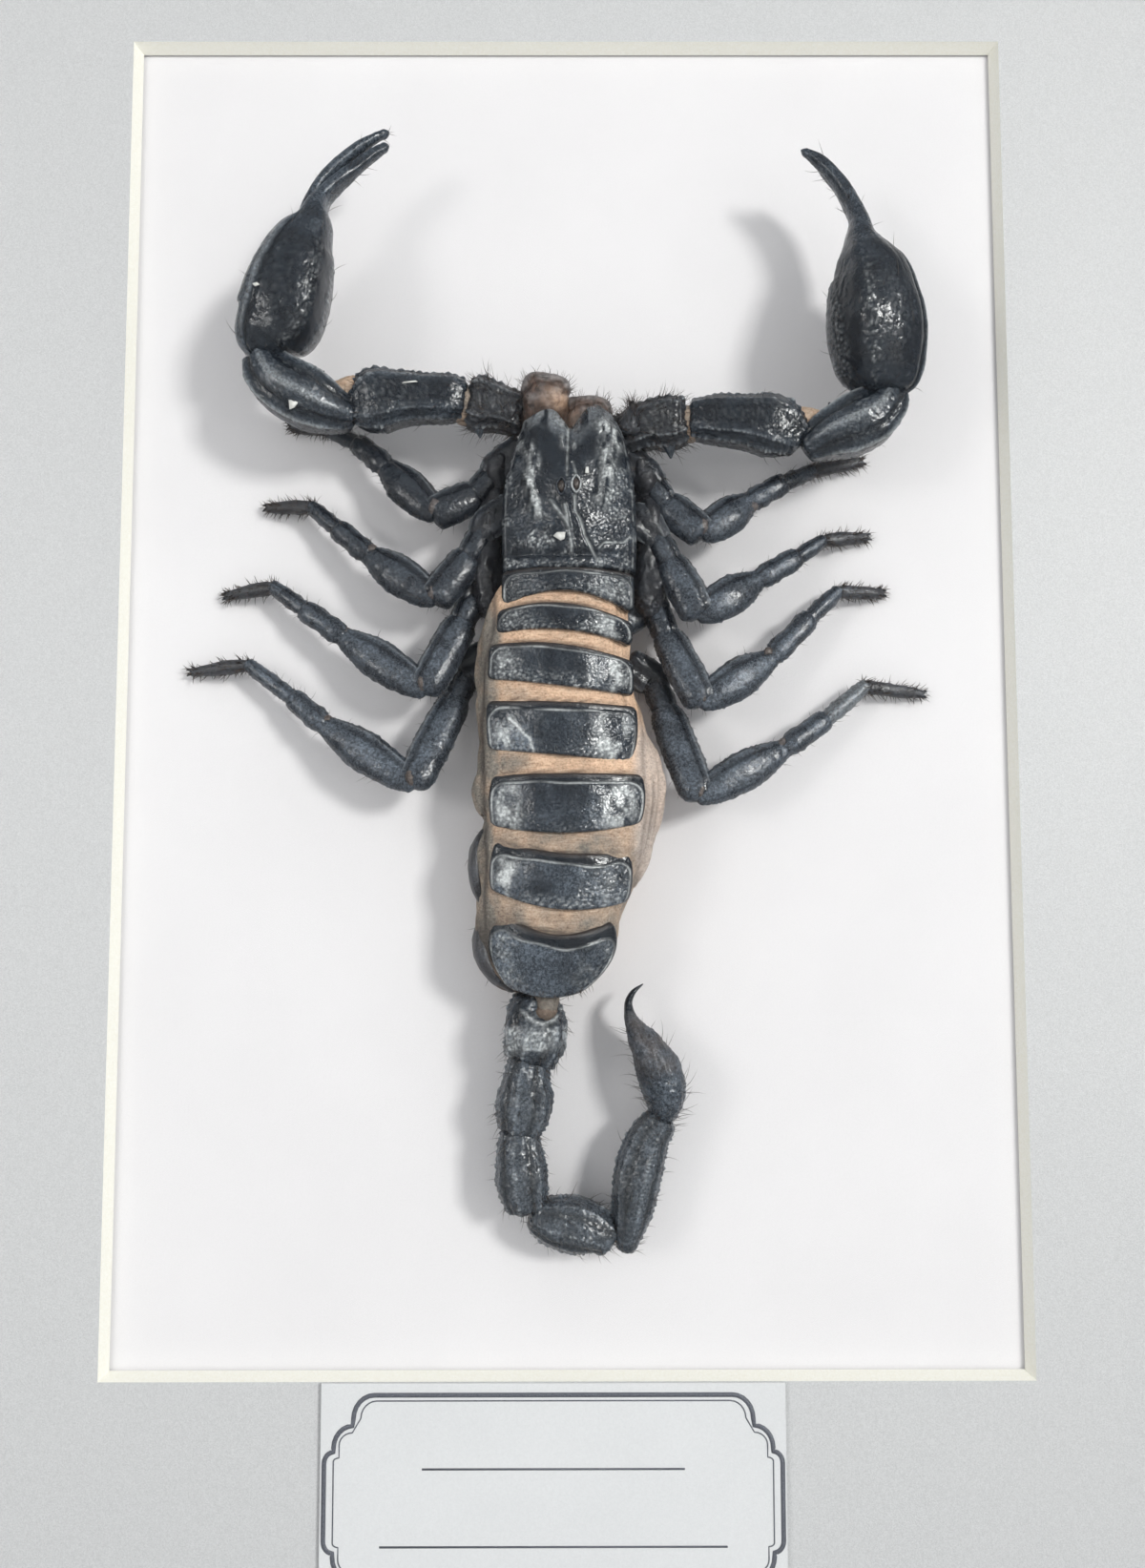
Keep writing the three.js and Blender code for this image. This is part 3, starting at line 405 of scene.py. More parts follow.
class Bristles:
    """Hairs gathered from every piece, made as one joined mesh of thin bent cones."""

    SIDES = 3
    RINGS = 3
    BEND = 0.35
    LEAN = 0.7
    STRAY = 0.3
    TAPER = 0.8
    LENGTHS = (0.5, 1.2)

    def __init__(self):
        self.roots = []
        self.ways = []
        self.lengths = []
        self.radii = []

    def grow(self, points, normals, forward, count, length, radius=0.035):
        pick = RNG.integers(0, len(points), count)
        way = normals[pick] + self.LEAN * forward[pick] + self.STRAY * RNG.normal(size=(count, 3))
        self.roots.append(points[pick])
        self.ways.append(unit(way))
        self.lengths.append(length * RNG.uniform(*self.LENGTHS, count))
        self.radii.append(np.full(count, radius))

    def shape(self):
        shape = Shape()
        roots = np.concatenate(self.roots)
        ways = np.concatenate(self.ways)
        lengths = np.concatenate(self.lengths)
        radii = np.concatenate(self.radii)
        side = unit(np.cross(ways, [0.31, 0.77, 0.55]))
        other = np.cross(ways, side)
        turn = RNG.uniform(0, TURN, len(roots))
        curl = side * np.cos(turn)[:, None] + other * np.sin(turn)[:, None]
        corner = np.arange(self.SIDES) * TURN / self.SIDES
        rim = side[:, None] * np.cos(corner)[:, None] + other[:, None] * np.sin(corner)[:, None]
        rings = []
        for k in range(self.RINGS):
            share = k / self.RINGS
            middle = roots + lengths[:, None] * (ways * share + curl * self.BEND * share**2)
            rings.append(middle[:, None] + rim * (radii * (1 - self.TAPER * share))[:, None, None])
        tips = roots + lengths[:, None] * (ways + curl * self.BEND)
        rings = np.stack(rings, axis=1).reshape(len(roots), -1, 3)
        points = np.concatenate([rings, tips[:, None], roots[:, None]], axis=1)
        tip = self.SIDES * self.RINGS
        quads = [(k * self.SIDES + i, k * self.SIDES + (i + 1) % self.SIDES,
                  (k + 1) * self.SIDES + (i + 1) % self.SIDES, (k + 1) * self.SIDES + i)
                 for k in range(self.RINGS - 1) for i in range(self.SIDES)]
        last = tip - self.SIDES
        triangles = [(last + i, last + (i + 1) % self.SIDES, tip) for i in range(self.SIDES)]
        triangles += [((i + 1) % self.SIDES, i, tip + 1) for i in range(self.SIDES)]
        starts = np.arange(len(roots))[:, None, None] * (tip + 2)
        shape.add(points, np.array(quads) + starts, np.array(triangles) + starts)
        return shape


BRISTLES = Bristles()


def limb(shape, sections, step=0.2, square=2.2, cap=0.6, reach=(0, 0), keels=(), knobs=(), bands=(),
         facets=(), grain=0.05, grain_size=0.6, dents=0.05, dust=0.25, tint=0.0, pale=0.0, thin_dust=0.0,
         surface=None, hairs=0, hair_length=1.3, hair_radius=0.035, hair_span=1.0):
    """Adds a closed limb that swells and bends through its sections.

    Angles around it are in degrees: 90 faces out of the card and 0 is to the left of its run. keels are
    (angle, height, width, pitch) ridges along it, where pitch is the spacing of their teeth, their pale
    crests partly a painted highlight; knobs are (angle, width, height, size) fields of coarse grains with
    painted glints, bands are (angle, width, dust) and facets are (crest, foot, height) slopes between two
    angles. reach lengthens it at both ends, and thin_dust is the dust where it is thin. Hairs grow on the
    first share, hair_span, of its length. surface(grid, angle) may give the relief, dust, skin and pale in
    place of dents, dust, tint and pale.
    """
    sections = np.array(sections, float)
    for end, inner, extra in ((0, 1, reach[0]), (-1, -2, reach[1])):
        sections[end, :3] += extra * unit(sections[end, :3] - sections[inner, :3])
    knots = np.concatenate([[0.0], np.cumsum(np.linalg.norm(np.diff(sections[:, :3], axis=0), axis=1))])
    length = knots[-1]
    rings = max(FEWEST_RINGS, int(length / step))
    sides = max(FEWEST_SIDES, int(np.pi * sections[:, 3:].sum(axis=1).max() / step))
    share = (np.arange(rings) + 0.5) / rings
    arc = length * (share - END_CROWDING * np.sin(TURN * share) / TURN)
    path = spline(knots, sections, arc)
    forward = unit(np.gradient(path[:, :3], arc, axis=0))
    side = unit(np.cross(UP, forward))
    above = np.cross(forward, side)
    first, last = cap * sections[0, 3:].mean(), cap * sections[-1, 3:].mean()
    closing = (1 - rolled(arc, first) / first) * (1 - rolled(length - arc, last) / last)
    angle = np.arange(sides) * 360 / sides
    across, rise = (np.sign(wave) * np.abs(wave) ** (2 / square)
                    for wave in (np.cos(np.radians(angle)), np.sin(np.radians(angle))))
    half = np.maximum(path[:, 3:], THINNEST) * closing[:, None]
    grid = (path[:, None, :3] + (half[:, :1] * across)[..., None] * side[:, None]
            + (half[:, 1:] * rise)[..., None] * above[:, None])
    normals = unit(np.cross(np.roll(grid, -1, axis=1) - np.roll(grid, 1, axis=1), np.gradient(grid, axis=0)))
    if surface:
        relief, dusty, soft, bright = surface(grid, angle)
    else:
        relief = dents * noise(grid, 2.4, 1) + 0.4 * dents * noise(grid, 0.9, 2)
        dusty, soft, bright = (np.full(relief.shape, level) for level in (dust, tint, pale))
    if grain:
        patchy = 0.35 + 0.65 * mottle(grid, 2.6, 5, strength=1.2)
        relief = relief + grain * patchy * grains(grid, grain_size, 3)
    swell = (path[:, 3:4] / path[:, 3].max()) ** 2
    dusty = dusty + thin_dust * (1 - swell) ** 2
    for middle, width, height, size in knobs:
        away = (angle - middle + 180) % 360 - 180
        field = bell(away, width) * grains(grid, size, 17) * swell
        relief = relief + height * field
        # Painted glints on the knobs' grains
        bright = bright + KNOB_PAINTED_GLINT * height * field**2
    for middle, width, amount in bands:
        away = (angle - middle + 180) % 360 - 180
        dusty = dusty + amount * bell(away, width)
    for crest, foot, height in facets:
        away = (angle - crest) / (foot - crest)
        slope = np.where(away > 0, np.clip(1 - away, 0, 1), bell(away, 1 / FACET_EDGE))
        relief = relief + height * slope * swell
    whole = np.minimum(KEEL_REACH * swell, 1)
    for middle, height, width, pitch in keels:
        away = (angle - middle + 180) % 360 - 180
        ridge = bell(away, width) * whole
        if pitch:
            line = np.stack([arc, 0 * arc + middle, 0 * arc], axis=-1)
            run = arc / pitch + 0.5 * noise(line, 2.5 * pitch, 6)
            tooth = lattice(np.floor(np.stack([run + 0.5, 0 * arc + middle, 0 * arc], axis=-1)), 4)
            ridge = ridge * (0.3 + 0.7 * np.abs(np.cos(np.pi * run)) ** 1.5 * (0.3 + tooth))[:, None]
        relief = relief + height * ridge
        dusty = dusty + KEEL_TONE * np.sign(height) * ridge
        # Pale keel crests, partly a painted highlight
        bright = bright + KEEL_PALE * max(height, 0) * ridge**3
    grid = grid + normals * (relief * closing[:, None])[..., None]
    index = np.arange(rings * sides).reshape(rings, sides)
    beside = np.roll(index, -1, axis=1)
    quads = np.stack([index[:-1], beside[:-1], beside[1:], index[1:]], axis=-1)
    start, stop = rings * sides, rings * sides + 1
    caps = [np.stack([np.full(sides, start), beside[0], index[0]], axis=-1),
            np.stack([np.full(sides, stop), index[-1], beside[-1]], axis=-1)]
    marks = {name: np.append(np.clip(values, 0, 1).ravel(), [values[0, 0], values[-1, 0]])
             for name, values in (("dust", dusty), ("skin", soft), ("pale", bright))}
    points = np.concatenate([grid.reshape(-1, 3), sections[[0, -1], :3]])
    shape.add(points, quads, np.concatenate(caps), **marks)
    if hairs:
        hairy = slice(0, max(1, int(hair_span * rings)))
        ways = np.broadcast_to(forward[:, None], grid.shape)
        roots, leans, ways = (values[hairy].reshape(-1, 3) for values in (grid, normals, ways))
        BRISTLES.grow(roots, leans, ways, hairs, hair_length, hair_radius)


def plate(shape, top, under, **marks):
    """Adds a closed plate: rows from the hind edge to the front one, walls and a fan below."""
    rows, columns = top.shape[:2]
    index = np.arange(rows * columns).reshape(rows, columns)
    loop = np.concatenate([index[0, :-1], index[:-1, -1], index[-1, :0:-1], index[:0:-1, 0]])
    low = rows * columns + np.arange(len(loop))
    after, low_after = np.roll(loop, -1), np.roll(low, -1)
    cells = np.stack([index[:-1, :-1], index[:-1, 1:], index[1:, 1:], index[1:, :-1]], axis=-1)
    quads = [cells.reshape(-1, 4), np.stack([low, low_after, after, loop], axis=-1)]
    fan = np.stack([np.full(len(loop), low[-1] + 1), low_after, low], axis=-1)
    middle = under[rows // 2, columns // 2]
    points = np.concatenate([top.reshape(-1, 3), under.reshape(-1, 3)[loop], [middle]])
    spread = {name: np.append(values.ravel(), [*values.ravel()[loop], 0.0])
              for name, values in marks.items()}
    shape.add(points, np.concatenate(quads), fan, **spread)


def upward(grid):
    """Normals of a grid of rows that faces out of the card."""
    return unit(np.cross(np.gradient(grid, axis=1), np.gradient(grid, axis=0)))


def edge_hairs(top, rows, way, count, length):
    """Hairs on some rows of a plate's top, leaning one way."""
    edge = top[rows].reshape(-1, 3)
    BRISTLES.grow(edge, upward(top)[rows].reshape(-1, 3), np.broadcast_to(way, edge.shape), count, length)


# Materials
class Tree:
    """Short calls that build one material's nodes, with places in millimetres."""

    def __init__(self, name):
        self.material = bpy.data.materials.new(name)
        self.material.use_nodes = True
        self.nodes = self.material.node_tree.nodes
        self.links = self.material.node_tree.links
        self.shader = self.nodes["Principled BSDF"]
        self.place = self.nodes.new("ShaderNodeTexCoord").outputs["Object"]

    def put(self, socket, value):
        if isinstance(value, bpy.types.NodeSocket):
            self.links.new(value, socket)
        elif isinstance(value, tuple) and len(value) == 3 and socket.type == "RGBA":
            socket.default_value = (*value, 1)
        else:
            socket.default_value = value

    def finish(self, **inputs):
        """Sets the shader's sockets, named with underscores for spaces."""
        for name, value in inputs.items():
            self.put(self.shader.inputs[name.replace("_", " ")], value)
        return self.material

    def node(self, kind, output, inputs, **settings):
        """A new node with its settings and inputs, read at one output."""
        node = self.nodes.new("ShaderNode" + kind)
        for name, value in settings.items():
            setattr(node, name, value)
        for key, value in inputs.items():
            self.put(node.inputs[key], value)
        return node.outputs[output]

    def stretched(self, per_mm):
        per_metre = [value / MM for value in per_mm]
        return self.node("Mapping", "Vector", {"Vector": self.place, "Scale": per_metre})

    def noise(self, per_mm, detail=4.0, rough=0.55, twist=0.0):
        per_mm = per_mm if isinstance(per_mm, tuple) else (per_mm,) * 3
        return self.node("TexNoise", "Fac", {"Vector": self.stretched(per_mm), "Scale": 1, "Detail": detail,
                                             "Roughness": rough, "Distortion": twist})

    def cells(self, per_mm):
        return self.node("TexVoronoi", "Distance", {"Vector": self.stretched((per_mm,) * 3), "Scale": 1},
                         feature="SMOOTH_F1")

    def mark(self, name):
        return self.node("Attribute", "Fac", {}, attribute_name=name)

    def ramp(self, factor, *stops):
        """Colours at places along a factor."""
        node = self.nodes.new("ShaderNodeValToRGB")
        while len(node.color_ramp.elements) < len(stops):
            node.color_ramp.elements.new(0.5)
        for element, (place, colour) in zip(node.color_ramp.elements, stops):
            element.position = place
            element.color = (*colour, 1)
        self.links.new(factor, node.inputs["Fac"])
        return node.outputs["Color"]

    def mix(self, factor, first, second):
        return self.node("Mix", 2, {0: factor, 6: first, 7: second}, data_type="RGBA")

    def math(self, operation, first, second):
        return self.node("Math", 0, {0: first, 1: second}, operation=operation)

    def times(self, first, second):
        return self.math("MULTIPLY", first, second)

    def plus(self, first, second):
        return self.math("ADD", first, second)

    def blend(self, first, second, share):
        """Two factors added, the first one with the given share."""
        return self.plus(self.times(first, share), self.times(second, 1 - share))

    def spread(self, factor, low, high, start=0.0, stop=1.0):
        """A factor from start to stop mapped to low to high."""
        return self.node("MapRange", "Result", {"Value": factor, "From Min": start, "From Max": stop,
                                                "To Min": low, "To Max": high})

    def bump(self, height, depth_mm, strength=1.0, over=None):
        inputs = {"Height": height, "Strength": strength, "Distance": depth_mm * MM}
        if over is not None:
            inputs["Normal"] = over
        return self.node("Bump", "Normal", inputs)


def cuticle_material():
    """Blue-black half-gloss shell with fine grains, slate dust, pale seams, painted highlights and tan joint
    skin.
    """
    tree = Tree("scorpion_cuticle")
    patches = tree.noise(0.4, 5)
    fine = tree.noise(3.4, 5, 0.6)
    speck = tree.noise(8.0, 3, 0.6)
    soft = tree.mark("skin")
    shell = tree.ramp(patches, (0.3, (0.004, 0.006, 0.010)), (0.7, (0.009, 0.014, 0.021)))
    dusty = tree.times(tree.mark("dust"), tree.spread(fine, 0.24, 1, 0.4, 0.64))
    dusty = tree.times(dusty, tree.spread(patches, 0.5, 1.2, 0.36, 0.62))
    dusty = tree.times(dusty, tree.spread(speck, 0.5, 1.4, 0.4, 0.62))
    colour = tree.mix(dusty, shell, (0.16, 0.195, 0.24))
    skin = tree.ramp(fine, (0.3, (0.13, 0.08, 0.05)), (0.7, (0.46, 0.31, 0.20)))
    colour = tree.mix(soft, colour, skin)
    # Pale seams and wear share the pale mark with painted highlights and glints
    pale = tree.times(tree.mark("pale"), tree.spread(fine, 0.4, 1, 0.35, 0.55))
    colour = tree.mix(pale, colour, (0.66, 0.69, 0.69))
    gloss = tree.plus(tree.spread(patches, 0.14, 0.28, 0.3, 0.7), tree.times(dusty, 0.22))
    gloss = tree.plus(gloss, tree.math("MINIMUM", tree.times(soft, 5.0), 0.2))
    normal = tree.bump(tree.cells(3.4), 0.055, 0.7)
    normal = tree.bump(fine, 0.03, 0.6, normal)
    return tree.finish(Base_Color=colour, Roughness=gloss, Normal=normal, Specular_IOR_Level=0.42)


def jaw_material():
    """Brown translucent horn, greyer where it is dusty and tan where it is thin."""
    tree = Tree("scorpion_jaw_horn")
    fine = tree.noise(1.6, 5)
    horn = tree.ramp(fine, (0.35, (0.028, 0.017, 0.013)), (0.65, (0.11, 0.065, 0.048)))
    grey = tree.ramp(fine, (0.35, (0.07, 0.062, 0.06)), (0.65, (0.25, 0.225, 0.22)))
    thin = tree.ramp(fine, (0.35, (0.26, 0.15, 0.09)), (0.65, (0.52, 0.34, 0.22)))
    colour = tree.mix(tree.mark("dust"), horn, grey)
    colour = tree.mix(tree.mark("skin"), colour, thin)
    normal = tree.bump(tree.noise(3.5, 6, 0.65), 0.1, 0.9)
    return tree.finish(Base_Color=colour, Roughness=tree.spread(fine, 0.22, 0.45), Normal=normal)


def membrane_material():
    """Dry tan skin with fine fibres across the body, greyer where it is dusty, with painted shade."""
    tree = Tree("scorpion_membrane")
    fibres = tree.blend(tree.noise((0.7, 5.0, 5.0), 5, 0.65, 0.6), tree.noise(4.5, 4, 0.7), 0.5)
    blotches = tree.noise(0.5, 4)
    tan = tree.ramp(fibres, (0.36, (0.36, 0.21, 0.13)), (0.5, (0.72, 0.48, 0.32)),
                    (0.64, (0.92, 0.69, 0.50)))
    grey = tree.ramp(fibres, (0.36, (0.075, 0.066, 0.055)), (0.62, (0.33, 0.295, 0.25)))
    worn = tree.ramp(fibres, (0.36, (0.36, 0.29, 0.25)), (0.62, (0.74, 0.63, 0.56)))
    dusty = tree.plus(tree.mark("dust"), tree.spread(blotches, -0.25, 0.25, 0.3, 0.7))
    colour = tree.mix(tree.spread(dusty, 0, 1), tan, grey)
    colour = tree.mix(tree.mark("pale"), colour, worn)
    # The skin mark paints shade near black: creases, hollows and lines beside and before the plates
    colour = tree.mix(tree.mark("skin"), colour, (0.025, 0.018, 0.016))
    normal = tree.bump(fibres, 0.14, 0.9)
    normal = tree.bump(tree.noise(4.0, 4), 0.05, 0.6, normal)
    return tree.finish(Base_Color=colour, Roughness=tree.spread(blotches, 0.5, 0.75), Normal=normal)


def mottled_material(name, per_mm, dark, light, roughness=0.6, low=0.3):
    """A plain finish in two near tones."""
    tree = Tree(name)
    colour = tree.ramp(tree.noise(per_mm, 3), (low, dark), (0.7, light))
    return tree.finish(Base_Color=colour, Roughness=roughness)


def wood_material(along):
    """Black stained wood under satin lacquer, its grain along x or z."""
    tree = Tree("black_wood_" + along)
    fast, slow = 3.0, 0.04
    grain = tree.noise((slow, fast, fast) if along == "x" else (fast, fast, slow), 6, 0.6, 0.4)
    colour = tree.ramp(grain, (0.3, (0.008, 0.007, 0.007)), (0.7, (0.026, 0.023, 0.021)))
    return tree.finish(Base_Color=colour, Roughness=tree.spread(grain, 0.3, 0.48), Coat_Weight=0.15,
                       Normal=tree.bump(grain, 0.06, 0.5))


def glass_material():
    tree = Tree("picture_glass")
    return tree.finish(Base_Color=(0.985, 0.995, 0.99), Roughness=0.0, Transmission_Weight=1.0, IOR=1.15)


def paper_material(name, dark, light, tooth=0.03):
    """Paper or card: two near tones mottled by its fibres, with a fine tooth."""
    tree = Tree(name)
    fibres = tree.noise(5.0, 6, 0.7)
    colour = tree.ramp(tree.blend(fibres, tree.noise(0.06, 3), 0.7), (0.35, dark), (0.65, light))
    return tree.finish(Base_Color=colour, Roughness=tree.spread(fibres, 0.55, 0.75),
                       Normal=tree.bump(fibres, tooth, 0.7))


def mat_material():
    """Silver-grey mat board with a fine sparkle on its face and a cream core on the cut bevel."""
    tree = Tree("mat_paper")
    tooth = tree.noise(7.0, 5, 0.7)
    face = tree.ramp(tooth, (0.3, (0.51, 0.515, 0.52)), (0.7, (0.69, 0.695, 0.70)))
    core = tree.ramp(tree.noise(4.0, 4), (0.3, (0.90, 0.88, 0.78)), (0.7, (0.96, 0.95, 0.88)))
    facing = tree.nodes.new("ShaderNodeSeparateXYZ")
    tree.links.new(tree.nodes.new("ShaderNodeNewGeometry").outputs["True Normal"], facing.inputs["Vector"])
    cut = tree.math("GREATER_THAN", facing.outputs["Y"], -0.95)
    return tree.finish(Base_Color=tree.mix(cut, face, core), Roughness=tree.spread(tooth, 0.38, 0.6),
                       Normal=tree.bump(tooth, 0.05, 0.7), Specular_IOR_Level=0.6)


def hardboard_material():
    tree = Tree("hardboard")
    fibres = tree.noise((1.2, 1.2, 1.2), 8, 0.7, 1.0)
    colour = tree.ramp(fibres, (0.3, (0.16, 0.085, 0.04)), (0.5, (0.26, 0.15, 0.075)),
                       (0.7, (0.36, 0.23, 0.12)))
    return tree.finish(Base_Color=colour, Roughness=tree.spread(fibres, 0.5, 0.7),
                       Normal=tree.bump(fibres, 0.08, 0.6))


def zinc_material():
    tree = Tree("zinc_steel")
    brushed = tree.noise((0.4, 6.0, 6.0), 5)
    colour = tree.ramp(tree.noise(0.5, 4), (0.35, (0.42, 0.42, 0.40)), (0.65, (0.62, 0.62, 0.60)))
    return tree.finish(Base_Color=colour, Metallic=1.0, Roughness=tree.spread(brushed, 0.28, 0.5),
                       Normal=tree.bump(brushed, 0.02, 0.5))


CUTICLE = cuticle_material()
JAW = jaw_material()
MEMBRANE = membrane_material()


# Scorpion
def make_carapace():
    """Front shield with its middle groove, eye mound, furrows, granular sides and crests, with painted
    highlights.
    """
    def drawn(name):
        lines = sum(weight * stroke(x, y, path, width)
                    for path, width, weight in CARAPACE_STROKES.get(name, ()))
        return lines + sum(blob(x, y, *spot) for spot in CARAPACE_SPOTS.get(name, ()))

    rows, columns = CARAPACE_GRID
    t = np.linspace(0, 1, rows)[:, None]
    s = np.sin(np.linspace(-np.pi / 2, np.pi / 2, columns))[None, :]
    share, left, right, crest = np.array(CARAPACE_ROWS).T
    left, right, crest = (spline(share, values, t[:, 0])[:, None] for values in (left, right, crest))
    ends, fronts = np.array(CARAPACE_FRONT).T
    front = spline(ends, fronts, s[0])[None, :]
    y = CARAPACE_HIND + t * (front - CARAPACE_HIND)
    x = (left + right) / 2 + s * (right - left) / 2 + 0 * y
    beside = (1 - np.abs(s)) * (right - left) / 2
    ahead, behind = (1 - t) * (front - CARAPACE_HIND), t * (front - CARAPACE_HIND)
    rim = rolled(beside, CARAPACE_RIM) + rolled(ahead, CARAPACE_END_RIM) + rolled(behind, CARAPACE_END_RIM)
    z = np.maximum(crest - CARAPACE_DROP * s**2 - rim, CARAPACE_UNDER + 0.1)
    flat = np.stack([x, y, 0 * x], axis=-1)
    marks = {name: drawn(name) for name in (*CARAPACE_HEIGHTS, "worn")}
    crests = np.clip(marks["crests"], 0, 1)
    # Two smooth panels beside the middle line, and grains elsewhere
    panels = np.clip(PANEL_EDGE - np.abs(np.abs(x - MIDDLE_LINE) - PANEL_MIDDLE) / PANEL_HALF, 0, 1)
    rough = 1 - PANEL_SMOOTH * panels * rise(y, PANEL_HIND, 1.5)
    coarse, small = grains(flat, 0.44, 3), grains(flat, 0.3, 9)
    broken = mottle(flat, 0.55, 18, 0.55, 1.1)
    patches = 0.5 * mottle(flat, 1.6, 6, -0.1, 1.8) + 0.9 * np.clip(marks["worn"], 0, 1)
    raised = rough * np.clip(0.25 + patches + crests, 0, 1)
    z = z + sum(height * marks[name] for name, height in CARAPACE_HEIGHTS.items())
    z = z + raised * (0.13 * coarse + 0.11 * small + 0.10 * noise(flat, 0.8, 8)) + 0.10 * noise(flat, 2.2, 4)
    top = np.stack([x, y, z], axis=-1)
    under = np.stack([x, y, np.full_like(x, CARAPACE_UNDER)], axis=-1)
    # Dusty fringe on the front lobes, more of it on the left, and a broken pale line near each side
    fringe = np.clip(1.2 - ahead / 3.0, 0, 1) * np.where(x < MIDDLE_LINE, 1.1, 0.5)
    fringe = fringe * mottle(flat * [1.6, 0.6, 1.0], 0.7, 19, 0.6)
    margin = bell(beside - 0.4, 0.09) * (ahead > 3) * broken
    # Worn patches dusty, pale furrows; painted highlights streak the crests, painted glints cluster on
    # grains
    dust_and_glint_patches = rough * np.clip(patches, 0, 1)
    dust = 0.03 + 0.3 * dust_and_glint_patches + fringe * (1.0 + 0.9 * small)
    lines = sum(level * marks[name] for name, level in CARAPACE_PALE.items())
    pale = (0.4 + 0.6 * broken) * lines + 0.3 * margin + 0.5 * fringe * (0.6 + 0.4 * coarse)
    pale = pale + 1.5 * crests * (0.4 + 0.6 * small) * mottle(flat * [1.5, 0.6, 1.0], 0.6, 20, 0.7, 1.1)
    pale = pale + dust_and_glint_patches * mottle(flat, 0.9, 28, 0.35, 1.6) * (1.1 * coarse**2 + 0.7 * small**2)
    shape = Shape()
    plate(shape, top, under, dust=np.clip(dust, 0, 1), skin=0.04 * fringe, pale=np.clip(pale, 0, 1))
    for place, lid_pale in EYES:
        eye = [[place[0], place[1] + along, EYE_HEIGHT, EYE_RADIUS * size, EYE_RADIUS * size]
               for along, size in ((-0.6, 0.4), (-0.2, 1.0), (0.2, 1.0), (0.6, 0.4))]
        limb(shape, eye, step=0.08, grain=0, dents=0, dust=0.0, tint=0.12)
        for side in (-1, 1):
            lid = [[place[0] + side * 0.48 * (1 - turn * turn), place[1] + turn, LID_HEIGHT, 0.09, 0.13]
                   for turn in np.linspace(-1, 1, 9)]
            limb(shape, lid, step=0.07, grain=0.04, grain_size=0.3, dents=0.02, pale=lid_pale)
    edge_hairs(top, slice(-12, None), (0, 1.0, 0), 90, 0.8)
    shape.piece("carapace_shell", CUTICLE, "cuticle", "carapace")


def make_tergite(number, front, hind, left, right, lip, bloom, gleam, fall=0.0):
    """Back plate: a smooth front lip, a pale line behind it and down the sides, granular edges, painted
    gleams.
    """
    rows, columns = PLATE_GRID
    along = np.linspace(1, 0, rows)[:, None]
    s = np.sin(np.linspace(-np.pi / 2, np.pi / 2, columns))[None, :]
    across = (s + 1) / 2
    y = parabola(front, across) * (1 - along) + parabola(hind, across) * along
    deep = parabola(front, across) - parabola(hind, across)
    from_front, from_hind = along * deep, (1 - along) * deep
    inset = rolled(np.minimum(from_front, from_hind), PLATE_CORNER)
    low, high = parabola(left, along), parabola(right, along)
    x = (low + high) / 2 + s * ((high - low) / 2 - 0.8 * inset)
    beside = (1 - np.abs(s)) * (high - low) / 2
    flat = np.stack([x, y, 0 * x + number * PLATE_SHIFT], axis=-1)
    rim = rolled(beside, PLATE_RIM) + rolled(from_front, PLATE_RIM) + 0.8 * rolled(from_hind, PLATE_RIM)
    body = PLATE_CREST - PLATE_DROP * s**2 - fall * along
    # Pale line that wanders behind the lip and turns down the sides
    wander = lip * (1 + 0.25 * noise(flat, 3.0, 12))
    inside = rounded(from_front - wander, beside - PLATE_MARGIN, LINE_CORNER)
    line = bell(inside, LINE_WIDTH) * rise(from_hind, 0, 0.8)
    behind = rise(inside, 0, 0.5)
    # Grains at the sides and the hind edge
    edges = np.clip(1.3 - from_hind / 1.5, 0, 1) + np.clip(1.2 - beside / 3.4, 0, 1)
    rough = behind * mottle(flat, 2.6, 7, 0.1 + edges, 0.7)
    coarse, small = grains(flat, 0.46, 3), grains(flat, 0.3, 9)
    z = body - np.minimum(rim, PLATE_THICKNESS - 0.15) + 0.10 * line - 0.14 * (inside < 0)
    z = z + 0.11 * noise(flat, 2.6, 2) + 0.06 * noise(flat, 1.1, 3) + rough * (0.15 * coarse + 0.10 * small)
    top = np.stack([x, y, z], axis=-1)
    under = np.stack([x, y, np.minimum(z, body) - PLATE_THICKNESS], axis=-1)
    # Bloom, dust and painted glints on the grains, and painted gleams
    sparkle = rough * mottle(flat, 3.0, 6, 0.2, 1.2)
    dust = (bloom * (0.8 + 0.5 * noise(flat, 3.4, 14)) + 0.1 * sparkle) * np.clip(0.2 + inside / 0.3, 0, 1)
    pale = line * mottle(flat, 1.4, 16, 0.55, 0.7) + sparkle * (0.75 * coarse**2 + 0.5 * small**2)
    shine = sum(level * blob(s, along, *spot) for level, spot in zip(gleam, GLEAM_SPOTS))
    shine = 1.5 * shine * mottle(flat * [1.0, 0.6, 1.0], 0.7, 27, 0.5, 1.5) * behind
    pale = pale + shine * (0.45 + 0.55 * coarse)
    if number == CRACKED_PLATE:
        crust = 2 * blob(x, y, (-6.6, -8.0), (2.6, 2.0)) * (1 + 0.5 * noise(flat, 1.0, 15))
        crust = np.clip(crust, 0, 1)
        dust = dust + 0.7 * crust
        pale = pale + stroke(x, y, CRACK, 0.12) + 0.3 * crust * coarse
    if number == LAST_PLATE:
        dust = dust + 0.6 * blob(x, y, (-6.0, -32.0), (1.2, 1.8))
        edge_hairs(top, slice(0, 8), (0, -1.0, 0), 40, 0.9)
    skin = 0.12 * np.clip(1 - from_front / 0.6, 0, 1)
    shape = Shape()
    plate(shape, top, under, dust=np.clip(dust, 0, 1), skin=skin, pale=np.clip(pale, 0, 1))
    shape.piece(f"tergite_{number}_shell", CUTICLE, "cuticle", f"tergite_{number}")


